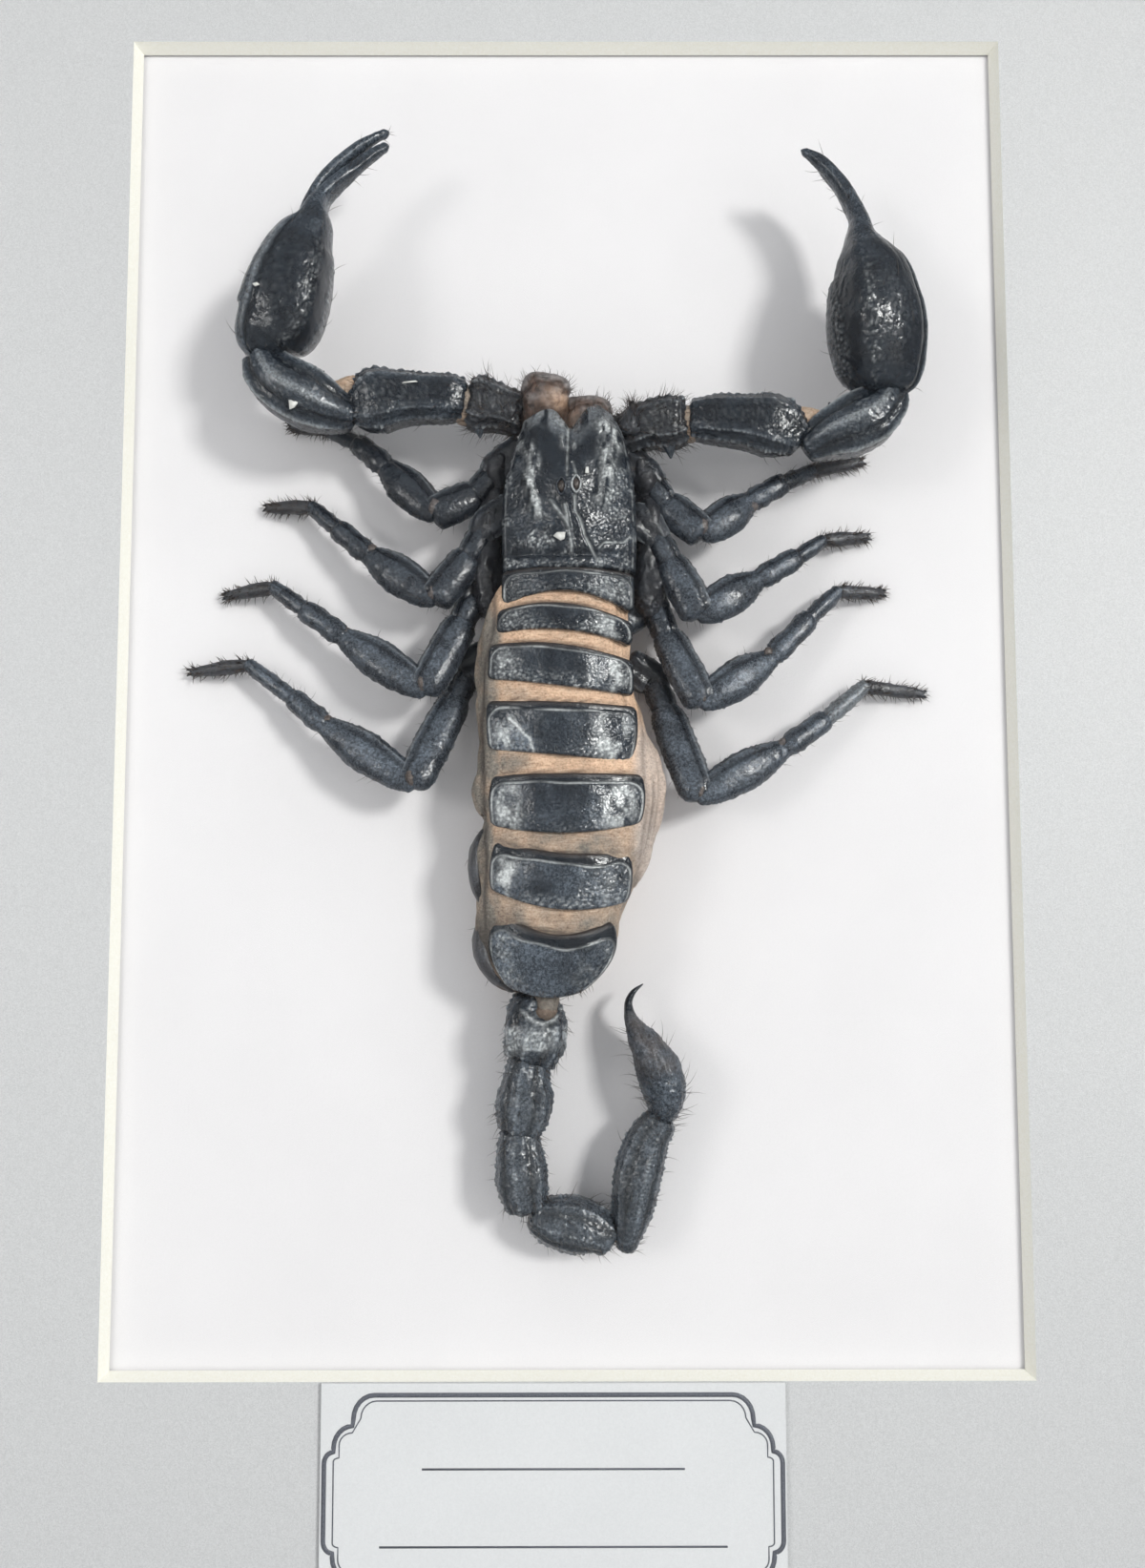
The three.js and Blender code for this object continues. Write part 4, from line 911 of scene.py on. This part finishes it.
# Middles of the back plates along and across the body, and their half widths
ROW_PLACES = [-(row["front"][1] + row["hind"][1]) / 2 for row in TERGITES]
ROW_MIDDLES = [(row["left"][1] + row["right"][1]) / 2 for row in TERGITES]
ROW_HALVES = [(row["right"][1] - row["left"][1]) / 2 for row in TERGITES]
LAST_FALL = TERGITES[-1]["fall"]
SKIN_HALF = 8                      # half width of the skin between the plates


def make_abdomen():
    """Soft skin under and beside the back plates, folded along the sides and fibrous between the plates."""
    def surface(grid, angle):
        x, y, z = np.moveaxis(grid, -1, 0)
        turn = np.radians(angle) + 0 * y
        outer = np.sin(turn) > 0
        # Folds along the sides and creases across the top, kept under the plates
        top = np.clip(np.sin(turn), 0, 1) ** 3
        folds = noise(np.stack([turn * 9, y / 4.0, 0 * y], axis=-1), 1.0, 21)
        folds = folds + 0.6 * noise(np.stack([turn * 22, y / 3.0, 0 * y], axis=-1), 1.0, 22)
        creases = noise(np.stack([x / 3.5, y * 2.2, 0 * y], axis=-1), 1.0, 23)
        sides = np.clip(1.5 * (1 - top) - 0.5, 0, 1)
        relief = 0.32 * sides * folds + 0.14 * top * creases + 0.10 * noise(grid, 2.0, 24)
        share = (x - np.interp(-y, ROW_PLACES, ROW_MIDDLES)) / np.interp(-y, ROW_PLACES, ROW_HALVES)
        fall = LAST_FALL * rise(-y, 26.6, 7.5)
        ceiling = PLATE_CREST - PLATE_DROP * share**2 - SKIN_BELOW - fall
        relief = relief - np.maximum(z + relief - ceiling, 0) * outer
        # Dust at the sides and the hind end, with two crusts on the left
        left = rise(0.8 * noise(grid, 3.0, 25) - x, 7.2, 0.9)
        right = 0.4 * rise(x, 7.4, 0.8)
        lower = np.minimum(rise(-y, 15.0, 4), 0.7)
        crust = 0.8 * blob(x, y, (-6.5, -10.0), (2.6, 1.4)) + 0.45 * blob(x, y, (-5.5, -2.4), (3.0, 0.9))
        dust = np.maximum(left, right + lower) + crust + 0.22 * noise(grid, 1.6, 26)
        # Painted shade beside and before the plates, in folds and at the left hind end; worn bulge on the
        # right
        dark = 0.75 * bell(share + 1.06, 0.035) + 0.45 * bell(share - 1.05, 0.03)
        dark = np.maximum(dark, 0.6 * sides * np.clip(-folds - 0.35, 0, 1))
        dark = np.maximum(dark, 0.75 * rise(-y, 25.0, 3) * (x < -5))
        for row in TERGITES:
            ahead = y - parabola(row["front"], rise(x, -SKIN_HALF, 2 * SKIN_HALF))
            dark = np.maximum(dark, 0.8 * top * bell(ahead - 0.05, 0.22) * (np.abs(x) < SKIN_HALF))
        bulge = 0.75 * rise(x, 6.9, 0.9) * rise(-y, 4.0, 3)
        # The skin mark carries the painted shade and the pale mark the worn bulge
        return relief, dust, dark * outer, bulge

    shape = Shape()
    limb(shape, SECTIONS["abdomen"], step=0.27, square=3.0, cap=0.3, grain=0.03, grain_size=0.5,
         surface=surface)
    shape.piece("abdomen_skin", MEMBRANE, "membrane", "abdomen")


BELLY_EDGES = [   # [x, y, half width] along each edge
    [(-8.7, -16.6, 0.35), (-9.6, -18.6, 0.75), (-9.8, -20.5, 0.95), (-9.5, -22.9, 0.9), (-8.8, -25.2, 0.45)],
    [(-8.7, -25.8, 0.45), (-9.1, -28.6, 1.1), (-8.7, -30.5, 1.2), (-7.5, -32.5, 1.0), (-5.6, -34.2, 0.4)],
]


def make_sternite_edges():
    """Edges of the belly plates that show beside the last back plates."""
    shape = Shape()
    for run in BELLY_EDGES:
        limb(shape, [[x, y, 6.0, size, 2.0 * size + 0.6] for x, y, size in run], grain=0.05, dents=0.1,
             keels=[(200, 0.12, 8, 0), (160, -0.1, 8, 0)], dust=0.3, tint=0.06, hairs=8, hair_length=0.9)
    shape.piece("belly_plate_edges", CUTICLE, "cuticle")


# Keels, knobs, bands and facets of the limbs, as limb takes them
ARM_KEELS = [(20, 0.42, 7, 0.7), (160, 0.42, 7, 0.7), (55, 0.24, 5, 0.55), (125, 0.24, 5, 0.55),
             (90, -0.18, 16, 0), (-40, 0.2, 13, 0), (220, 0.2, 13, 0)]
PATELLA_KEELS = [(28, 0.36, 7, 0), (152, 0.36, 7, 0), (55, -0.3, 10, 0), (88, 0.2, 6, 0), (120, -0.3, 10, 0)]
ARM_KNOBS = [(90, 60, 0.12, 0.42)]
TAIL_KEELS = [(100, 0.24, 4, 0.42), (72, -0.22, 10, 0), (128, -0.14, 10, 0), (48, 0.16, 4, 0.4),
              (8, 0.36, 6, 0.65), (172, 0.36, 6, 0.65), (-30, 0.26, 8, 0.8), (210, 0.26, 8, 0.8)]
TAIL_KNOBS = [(90, 70, 0.10, 0.36), (60, 25, 0.10, 0.6)]
LEG_KEELS = [(4, 0.20, 9, 0.45), (176, 0.20, 9, 0.45), (36, 0.13, 5, 0), (58, -0.12, 8, 0)]
# A lighter, rougher band along the top of each leg: dust, and partly a painted sheen
LEG_BANDS = [(95, 32, 0.4)]
HAND_LOOKS = {
    "left": dict(square=2.9, keels=[(68, -0.24, 5, 0), (60, 0.12, 5, 0), (178, 0.22, 9, 0.7)],
                 bands=[(42, 20, 0.6)], grain=0.04, knobs=[(128, 14, 0.26, 0.45), (95, 40, 0.05, 0.5)]),
    "right": dict(square=2.3, keels=[(150, -0.25, 6, 0), (164, 0.14, 8, 0), (4, 0.20, 9, 0.7)],
                  bands=[(176, 20, 0.15)], facets=[(72, 124, 1.0)], grain=0.04, grain_size=0.45,
                  knobs=[(28, 16, 0.28, 0.5), (76, 8, 0.3, 0.45), (95, 45, 0.05, 0.5)]),
}
HIP_KEELS = [(30, 0.18, 8, 0), (95, -0.25, 10, 0), (150, 0.18, 8, 0)]
# Looks of the leg segments from the hip to the foot, and the dust on single legs
LEG_LOOK = dict(step=0.21, square=2.3, grain=0.11, grain_size=0.55, dents=0.08, tint=0.01, hair_length=1.0,
                hair_radius=0.03)
FOOT_LOOK = dict(LEG_LOOK, grain=0.14, tint=0.05, hair_length=0.95, hair_radius=0.055)
FOOT = 5
LEG_DUST = (0.12, 0.4, 0.46, 0.46, 0.46, 0.3)
LEG_HAIRS = (10, 26, 26, 22, 34, 130)
LEG_GRIME = {"leg_left_1": 0.2, "leg_left_2": 0.38, "leg_left_3": 0.8, "leg_right_1": 0.7,
             "leg_right_2": 0.8}
WORN_STRETCH = ("leg_right_4", 4)
WORN_PALE = 0.16
HIP_ROOT = (3.2, 2.6, 0.4)         # from the hip towards the body, forward and out of the card
KNEES = ((2, 0.9), (3, 0.6))       # joint and size of its skin
CLAW = [(0, 0.12, 0.1, 0.2), (0.4, 0.25, 0.25, 0.16), (0.75, 0.32, 0.1, 0.11), (0.95, 0.34, -0.3, 0.04)]
# Lumps beside the jaws, and the base and tip of each spur on the arms
HIP_LUMPS = {
    "left": [[-6.6, 28.0, 8.0, 0.9, 1.2], [-6.0, 29.2, 8.6, 1.1, 1.3], [-5.3, 30.2, 8.4, 0.5, 0.8]],
    "right": [[7.0, 26.6, 8.2, 1.2, 1.4], [7.1, 28.2, 8.6, 1.0, 1.1], [7.2, 29.4, 8.7, 0.4, 0.5],
              [7.2, 30.1, 8.7, 0.06, 0.06]],
}
SPURS = {
    "pedipalp_left_patella": [(-27.4, 31.2, 9.8), (-26.5, 33.4, 9.6)],
    "pedipalp_right_patella": [(29.4, 27.6, 9.8), (28.7, 29.8, 9.6)],
    "pedipalp_left_trochanter": [(-9.7, 28.6, 8.2), (-9.5, 26.3, 8.0)],
    "pedipalp_right_trochanter": [(11.2, 26.6, 8.2), (11.5, 24.0, 8.0)],
}


def make_arms():
    """Pedipalps: toothed arm segments and the pincers."""
    arm = dict(step=0.17, square=2.8, cap=0.35, keels=ARM_KEELS, knobs=ARM_KNOBS, grain=0.12,
               grain_size=0.45, dents=0.08, dust=0.2)
    for side in ("left", "right"):
        looks = {
            f"pedipalp_{side}_trochanter": dict(arm, grain=0.22, dents=0.15, dust=0.04, tint=0.02,
                                                reach=(2.0, 0.45), hairs=320, hair_length=1.7),
            f"pedipalp_{side}_femur": dict(arm, reach=(0.45, 0.7), hairs=40),
            f"pedipalp_{side}_patella": dict(arm, keels=PATELLA_KEELS, dust=0.26, reach=(1.3, 0.9),
                                             hairs=14),
            f"pincer_{side}_hand": dict(step=0.16, dents=0.1, reach=(1.2, 0), dust=0.02, thin_dust=0.4,
                                        hairs=44, hair_length=1.7, hair_span=0.85, **HAND_LOOKS[side]),
            f"pincer_{side}_finger": dict(step=0.14, grain=0.05, dents=0.06, dust=0.5, reach=(1.8, 0),
                                          hairs=18),
        }
        for node, look in looks.items():
            shape = Shape()
            limb(shape, SECTIONS[node], **look)
            if node.endswith("trochanter"):
                limb(shape, HIP_LUMPS[side], step=0.13, grain=0.24, grain_size=0.4, dents=0.5, dust=0.12,
                     tint=0.03, hairs=160, hair_length=1.4)
            if node in SPURS:
                base, tip = SPURS[node]
                limb(shape, [[*base, 1.1, 0.8], [*(np.add(base, tip) / 2), 0.7, 0.5], [*tip, 0.08, 0.08]],
                     step=0.14, grain=0.03)
            shape.piece(node + "_shell", CUTICLE, "cuticle", node)


# Joint skin: what differs in its look, then its sections. Tint here is painted shade
JOINT_SKIN = [
    ({}, [[-21.3, 31.4, 8.4, 1.4, 1.8], [-23.6, 31.5, 8.3, 1.5, 1.7], [-26.0, 31.3, 8.4, 1.2, 1.4]]),
    ({}, [[23.6, 28.2, 7.9, 1.4, 1.6], [26.0, 28.2, 8.0, 1.6, 1.6], [28.4, 27.7, 8.2, 1.2, 1.4]]),
    (dict(dust=0.7, tint=0.12), [[-9.8, 29.9, 7.5, 2.0, 1.9], [-12.4, 30.3, 7.6, 2.1, 1.9]]),
    (dict(dust=0.7, tint=0.12), [[12.2, 27.9, 7.5, 2.0, 1.9], [14.8, 28.1, 7.6, 2.0, 1.9]]),
    # Painted shade darkens the skin in the hollow before the tail
    (dict(dust=1.0, tint=0.3), [[-2.1, -33.4, 7.4, 1.5, 1.5], [-2.1, -35.0, 7.7, 1.35, 1.4],
                                [-2.1, -35.8, 7.7, 1.1, 1.3], [-2.1, -36.3, 7.4, 0.6, 1.0]]),
    (dict(tint=0.75), [[-2.3, -35.6, 7.5, 1.6, 1.45], [-2.3, -36.6, 7.7, 1.3, 1.4],
                       [-2.3, -37.2, 7.5, 0.8, 1.2]]),
]


def make_elbow_skin():
    """Tan skin in the elbows, at the hips of the pedipalps and before the tail."""
    shape = Shape()
    soft = dict(step=0.15, grain=0.06, grain_size=0.4, dents=0.25, dust=0.5)
    for changes, sections in JOINT_SKIN:
        limb(shape, sections, **dict(soft, **changes))
    shape.piece("joint_skin", MEMBRANE, "membrane")


# Rim of the hollow in the first tail segment
RING_RIM = [(-4.8, -36.0), (-3.5, -37.2), (-2.5, -37.5), (-1.3, -37.0), (-0.6, -36.0)]


def ring_surface(grid, angle):
    """First tail segment: a rimmed hollow under the last back plate and a whitish granular hind half."""
    x, y, z = np.moveaxis(grid, -1, 0)
    rim = stroke(x, y, RING_RIM, 0.2) * (z > 6.4)
    hind = rise(-y, 37.6, 0.5) * rise(y, -41.4, 1.2) * mottle(grid, 1.2, 30, 0.6)
    hollow = blob(x, y, (-2.2, -36.0), (1.7, 1.0))
    relief = 0.2 * noise(grid, 2.4, 1) + 0.1 * noise(grid, 0.9, 2) - 0.6 * hollow
    # Pale grains on the hind half and a pale line on the rim, partly painted highlights
    bright = hind * (0.25 + 0.75 * grains(grid, 0.4, 13)) + 0.55 * rim * mottle(grid, 0.7, 33, 0.7)
    return relief + 0.3 * rim, 0.3 + 0.5 * hind, 0 * y, bright


def sting_surface(grid, angle):
    """Rough brownish bulb with a dark smooth point."""
    y = grid[..., 1]
    point = rise(y, -37.8, 1.6)
    brown = rise(y, -44.5, 4.0) * (1 - point) * mottle(grid, 1.5, 31, 0.7, 0.8)
    relief = 0.12 * noise(grid, 1.8, 1) + 0.09 * noise(grid, 0.7, 2) + 0.13 * grains(grid, 0.4, 3)
    return (1 - point) * relief, 0.55 - 0.5 * point, 0.16 * brown, 0 * y


def make_tail():
    """Tail segments with toothed keels, and the sting with its bulb."""
    for number in range(1, 6):
        node = f"tail_segment_{number}"
        shape = Shape()
        limb(shape, SECTIONS[node], step=0.14, square=2.8, cap=0.35, keels=TAIL_KEELS, knobs=TAIL_KNOBS,
             grain=0.12, grain_size=0.4, dents=0.18, dust=0.46, pale=0.03, reach=(0.9, 0.9), hairs=90,
             hair_length=1.5, surface=ring_surface if number == 1 else None)
        shape.piece(node + "_shell", CUTICLE, "cuticle", node)
    shape = Shape()
    limb(shape, SECTIONS["sting"], step=0.15, square=2.1, grain=0, surface=sting_surface, reach=(0.9, 0),
         hairs=90, hair_length=2.1, hair_span=0.62)
    shape.piece("sting_shell", CUTICLE, "cuticle", "sting")


# Jaws: middle and strength of the thin tan spot, then the fold across the jaw
JAW_LOOKS = {
    "left": ((-0.9, 29.5), 0.85, [(-4.6, 30.4), (-3.6, 31.5), (-2.0, 31.5), (-0.6, 31.2), (0.2, 30.4)]),
    "right": ((0.9, 27.6), 0.2, [(-0.2, 28.4), (0.8, 29.2), (2.4, 29.4), (3.8, 29.0), (4.6, 28.2)]),
}


def make_jaws():
    """Jaws, grey and hairy in front of a fold; the left one is tan on its inner side."""
    for side, (thin, amount, fold) in JAW_LOOKS.items():
        def surface(grid, angle):
            x, y = grid[..., 0], grid[..., 1]
            crease = stroke(x, y, fold, 0.22)
            brow = rise(y, np.interp(x, *np.transpose(fold)), 0.5)
            relief = 0.14 * noise(grid, 1.7, 1) + 0.08 * noise(grid, 0.6, 2) - 0.3 * crease + 0.2 * brow
            grey = np.clip(0.15 + 0.75 * brow + 0.8 * noise(grid, 0.9, 32) - crease, 0, 1)
            return relief, grey, amount * (1 - brow) * blob(x, y, thin, (1.3, 1.0)), 0 * y

        node = f"jaw_{side}"
        shape = Shape()
        limb(shape, SECTIONS[node], step=0.12, square=2.6, cap=0.4, grain=0.05, grain_size=0.35,
             surface=surface, reach=(1.0, 0), hairs=160, hair_length=1.1)
        shape.piece(node + "_horn", JAW, "jaw_horn", node)


def make_legs():
    """Legs with flattened, keeled segments, hairy feet and two claws each."""
    for node, joints in LEGS.items():
        shape = Shape()
        inward = -math.copysign(1, joints[0][0])
        keels = LEG_KEELS if inward < 0 else [(180 - angle, *rest) for angle, *rest in LEG_KEELS]
        grime = LEG_GRIME.get(node, 1.0)
        bands = [(angle, width, grime * dust) for angle, width, dust in LEG_BANDS]
        joints = np.array(joints)
        hip = joints[0]
        root = hip + np.array(HIP_ROOT) * [inward, 1, 1]
        beyond = hip + 0.4 * (joints[1] - hip)
        middle = 0.5 * (root + hip)
        limb(shape, [[*root, 1.4, 1.5], [*middle, 1.9, 1.7], [*hip, 1.75, 1.55], [*beyond, 1.3, 1.2]],
             square=2.9, cap=0.35, keels=HIP_KEELS, grain=0.14, grain_size=0.5, dents=0.3, dust=0.15,
             tint=0.02, hairs=20)
        for order, (half_width, half_height, outline) in enumerate(LEG_SEGMENTS):
            start, end = joints[order:order + 2]
            over = LEG_OVERLAP * unit(end - start)
            start, end = start - over, end + over
            sections = [[*(start + (end - start) * share), half_width * size, half_height * size]
                        for share, size in outline]
            coat = dict(dust=grime * LEG_DUST[order], hairs=LEG_HAIRS[order])
            if order == FOOT:
                limb(shape, sections, **coat, **FOOT_LOOK)
            else:
                worn = WORN_PALE if (node, order) == WORN_STRETCH else 0.0
                limb(shape, sections, keels=keels, bands=bands, pale=worn, **coat, **LEG_LOOK)
        for order, size in KNEES:
            before, knee, after = joints[order - 1:order + 2]
            inner = knee + 0.7 * unit(unit(before - knee) + unit(after - knee)) + 0.5 * UP
            limb(shape, [[*(inner + ahead * unit(after - before)), size * swell, size * swell]
                         for ahead, swell in ((-0.6, 0.6), (0, 1.0), (0.6, 0.6))],
                 step=0.12, grain=0.14, grain_size=0.35, dents=0.22, dust=0.5, tint=0.22)
        tip = joints[-1]
        forward = unit(tip - joints[-2])
        sideways = unit(np.cross(UP, forward))
        for spread in (-1, 1):
            limb(shape, [[*(tip + ahead * forward + spread * out * sideways + UP * rise), size, size]
                         for ahead, out, rise, size in CLAW], step=0.1, grain=0, dents=0, dust=0.1)
        shape.piece(node + "_shell", CUTICLE, "cuticle", node)


# Swollen sides of the underside between the hips, left and right
HIP_SIDES = [
    [[-7.0, 26.4, 5.6, 0.8, 1.3], [-7.8, 23.6, 5.4, 1.5, 2.0], [-7.8, 21.6, 4.8, 1.0, 1.6],
     [-8.3, 18.4, 5.2, 1.7, 2.0], [-8.2, 15.6, 4.6, 1.2, 1.7], [-8.7, 12.0, 5.0, 1.7, 2.0],
     [-8.8, 7.0, 4.4, 1.0, 1.6]],
    [[7.8, 25.6, 5.6, 0.8, 1.3], [8.6, 22.6, 5.4, 1.5, 2.0], [8.5, 20.4, 4.8, 1.0, 1.6],
     [9.1, 17.4, 5.2, 1.7, 2.0], [8.8, 14.8, 4.6, 1.2, 1.7], [9.2, 11.0, 5.0, 1.7, 2.0],
     [8.9, 7.0, 4.4, 1.0, 1.6]],
]


def make_coxae():
    """Underside that the limbs grow from, with the hairy sides that show between the hips."""
    shape = Shape()
    limb(shape, SECTIONS["coxae"], step=0.32, square=2.6, grain=0.14, dents=0.35, dust=0.2)
    for sections in HIP_SIDES:
        limb(shape, sections, step=0.2, grain=0.22, grain_size=0.45, dents=0.6, dust=0.08, tint=0.03,
             hairs=190, hair_length=0.8)
    shape.piece("coxae_shell", CUTICLE, "cuticle", "coxae")


def make_flakes():
    """White flakes that lie on the specimen, each a thin irregular chip."""
    shape = Shape()
    half_thickness = 0.06
    flakes = [(-33.0, 40.9, 14.6, [(-0.4, 0.1), (-0.1, -0.2), (0.4, 0.0), (0.1, 0.25)]),
              (-29.3, 28.7, 12.2, [(-0.5, 0.4), (-0.4, -0.6), (0.1, -0.4), (0.6, 0.3), (0.1, 0.5)]),
              (-0.7, 14.0, 13.1, [(-0.7, 0.0), (0.1, -0.5), (0.5, -0.3), (0.6, 0.4), (-0.3, 0.4)]),
              (2.2, 21.0, 13.4, [(-0.2, -0.3), (0.2, -0.3), (0.15, 0.4), (-0.15, 0.35)]),
              (-17.0, 31.5, 11.1, [(-0.8, -0.1), (0.9, 0.05), (0.7, 0.2), (-0.6, 0.05)])]
    for x, y, z, outline in flakes:
        corners = np.array(outline) + [x, y]
        count = len(corners)
        lifts = (half_thickness, -half_thickness)
        high, low = (np.column_stack([corners, np.full(count, z + lift)]) for lift in lifts)
        this = np.arange(count)
        following = np.roll(this, -1)
        sides = np.stack([this + count, following + count, following, this], axis=-1)
        fan = np.stack([np.zeros(count - 2, int), this[1:-1], this[2:]], axis=-1)
        shape.add(np.concatenate([high, low]), sides, np.concatenate([fan, fan[:, ::-1] + count]))
    chalk = mottled_material("white_flake", 3.0, (0.62, 0.62, 0.58), (0.85, 0.85, 0.82))
    shape.piece("white_flakes", chalk, "backing_paper")


def make_scorpion():
    make_carapace()
    for number, row in enumerate(TERGITES, 1):
        make_tergite(number, **row)
    make_abdomen()
    make_sternite_edges()
    make_arms()
    make_elbow_skin()
    make_tail()
    make_jaws()
    make_legs()
    make_coxae()
    make_flakes()
    horn = mottled_material("scorpion_bristle", 0.8, (0.020, 0.014, 0.011), (0.07, 0.045, 0.03), 0.45, 0.35)
    BRISTLES.shape().piece("bristles", horn, "cuticle")


# Label print
LABEL_MIDDLE = (-1.5, -88.6)
INK_THICKNESS = 0.03
ARC_STEPS = 7


def corner_arc(middle, radii):
    """Quarter of an ellipse from its top to its left."""
    turns = np.linspace(np.pi / 2, np.pi, ARC_STEPS)
    return [(middle[0] + radii[0] * math.cos(a), middle[1] + radii[1] * math.sin(a)) for a in turns]


def border(arcs):
    """Closed outline from the arcs of its top left corner, mirrored to the other three."""
    corner = [point for middle, radii in arcs for point in corner_arc(middle, radii)]
    left = corner + [(x, -y) for x, y in reversed(corner)]
    return left + [(-x, y) for x, y in reversed(left)]


def ribbon(shape, path, width, closed=True):
    """Adds a thin printed line along a path around the label's middle."""
    path = np.array(path, float)
    before = np.roll(path, 1, axis=0)
    after = np.roll(path, -1, axis=0)
    if not closed:
        before[0] = path[0]
        after[-1] = path[-1]
    way = unit(unit(after - path) + unit(path - before))
    out = np.stack([-way[:, 1], way[:, 0]], axis=-1) * width / 2
    place = path + np.array(LABEL_MIDDLE)
    rows = [np.column_stack([place + sign * out, np.full(len(path), LABEL_FACE + height)])
            for sign, height in ((1, 0), (1, INK_THICKNESS), (-1, INK_THICKNESS), (-1, 0))]
    points = np.stack(rows, axis=1)
    count = len(path)
    index = np.arange(count * 4).reshape(count, 4)
    follow = np.roll(index, -1, axis=0)
    if not closed:
        index, follow = index[:-1], follow[:-1]
    beside, follow_beside = np.roll(index, -1, axis=1), np.roll(follow, -1, axis=1)
    quads = np.stack([index, beside, follow_beside, follow], axis=-1).reshape(-1, 4)
    if not closed:
        last = 4 * count - 4
        quads = np.concatenate([quads, [[3, 2, 1, 0], [last, last + 1, last + 2, last + 3]]])
    shape.add(points, quads)


def make_label_print():
    """Thick and thin border lines with notched round corners, and plain ruled lines."""
    shape = Shape()
    thick = [((-19.3, 8.6), (2.2, 2.5)), ((-21.6, 5.6), (2.0, 2.3)), ((-23.6, 4.0), (1.0, 1.2))]
    thin = [((-19.0, 8.7), (1.7, 1.8)), ((-21.6, 5.9), (1.4, 1.3)), ((-23.0, 4.2), (0.6, 0.4))]
    ribbon(shape, border(thick), 0.5)
    ribbon(shape, border(thin), 0.14)
    for height, half_length in ((3.4, 14.1), (-4.6, 18.6)):
        ribbon(shape, [(-half_length, height), (half_length, height)], 0.22, closed=False)
    ink = mottled_material("label_ink", 9.0, (0.05, 0.055, 0.07), (0.16, 0.17, 0.20))
    shape.piece("label_print", ink, "label_paper")


def dress_holder():
    """Gives the carried-over solids of the box their finishes."""
    looks = {
        "rail_bottom": wood_material("x"),
        "rail_left": wood_material("z"),
        "glass": glass_material(),
        "spacer_left": paper_material("spacer_board", (0.52, 0.52, 0.53), (0.62, 0.62, 0.63)),
        "mat": mat_material(),
        "backing_card": paper_material("backing_paper", (0.80, 0.785, 0.795), (0.87, 0.855, 0.865), 0.02),
        "back_board": hardboard_material(),
        "label_card": paper_material("label_paper", (0.69, 0.70, 0.71), (0.77, 0.78, 0.79), 0.02),
        "hanger": zinc_material(),
    }
    looks["rail_top"] = looks["rail_bottom"]
    looks["rail_right"] = looks["rail_left"]
    for name in ("right", "bottom", "top"):
        looks["spacer_" + name] = looks["spacer_left"]
    for number in range(1, 7):
        looks[f"framer_point_{number}"] = looks["hanger"]
    for node, material in looks.items():
        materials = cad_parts[node].data.materials
        materials.clear()
        materials.append(material)
    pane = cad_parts["glass"]
    pane.visible_shadow = False
    pane.visible_diffuse = False


# Camera, lights and floor
CAMERA_PLACE = (0.34, -25.62, 161.95)
CAMERA_PITCH = 5.09
CAMERA_YAW = -0.1
CAMERA_ROLL = -0.07
FOCAL_PIXELS = 1500
PHOTO_LONG_SIDE = 1644
SENSOR = 36
LIGHT_AIM = (0, 0, 5)
WORLD_COLOUR = (0.95, 0.97, 1.0, 1)
WORLD_STRENGTH = 0.58
FLOOR_REACH = 1.5


def make_camera():
    data = bpy.data.cameras.new("camera")
    data.sensor_width = SENSOR
    data.lens = SENSOR * FOCAL_PIXELS / PHOTO_LONG_SIDE
    data.clip_start = 0.01
    camera = bpy.data.objects.new("camera", data)
    bpy.context.scene.collection.objects.link(camera)
    turns = [(90, "X"), (CAMERA_ROLL, "Z"), (CAMERA_YAW, "Y"), (CAMERA_PITCH, "X")]
    matrix = Matrix.Translation(Vector(to_frame([CAMERA_PLACE])[0]))
    for degrees, axis in turns:
        matrix = matrix @ Matrix.Rotation(math.radians(degrees), 4, axis)
    camera.matrix_world = matrix
    bpy.context.scene.camera = camera


def make_light(name, place, size, power, colour):
    """Soft square light at a place in specimen millimetres, turned to the specimen."""
    data = bpy.data.lights.new(name, "AREA")
    data.shape = "SQUARE"
    data.size = size
    data.energy = power
    data.color = colour
    light = bpy.data.objects.new(name, data)
    bpy.context.scene.collection.objects.link(light)
    start, end = (Vector(point) for point in to_frame([place, LIGHT_AIM]))
    light.location = start
    light.rotation_euler = (end - start).to_track_quat("-Z", "Y").to_euler()


def make_studio():
    make_light("key", (1000, 375, 1375), 0.3, 15.9, (1.0, 0.99, 0.97))
    make_light("side", (-470, 60, 540), 0.18, 0.75, (1.0, 0.97, 0.95))
    world = bpy.data.worlds.new("studio")
    world.use_nodes = True
    background = world.node_tree.nodes["Background"]
    background.inputs["Color"].default_value = WORLD_COLOUR
    background.inputs["Strength"].default_value = WORLD_STRENGTH
    bpy.context.scene.world = world
    bpy.context.scene.view_settings.view_transform = "Standard"
    mesh = bpy.data.meshes.new("floor")
    corners = [(x * FLOOR_REACH, y * FLOOR_REACH, 0) for x, y in ((-1, -1), (1, -1), (1, 1), (-1, 1))]
    mesh.from_pydata(corners, [], [(0, 1, 2, 3)])
    mesh.materials.append(mottled_material("pale_floor", 0.02, (0.70, 0.70, 0.70), (0.76, 0.76, 0.76)))
    floor = bpy.data.objects.new("floor", mesh)
    bpy.context.scene.collection.objects.link(floor)


make_camera()
make_studio()
dress_holder()
make_label_print()
make_scorpion()
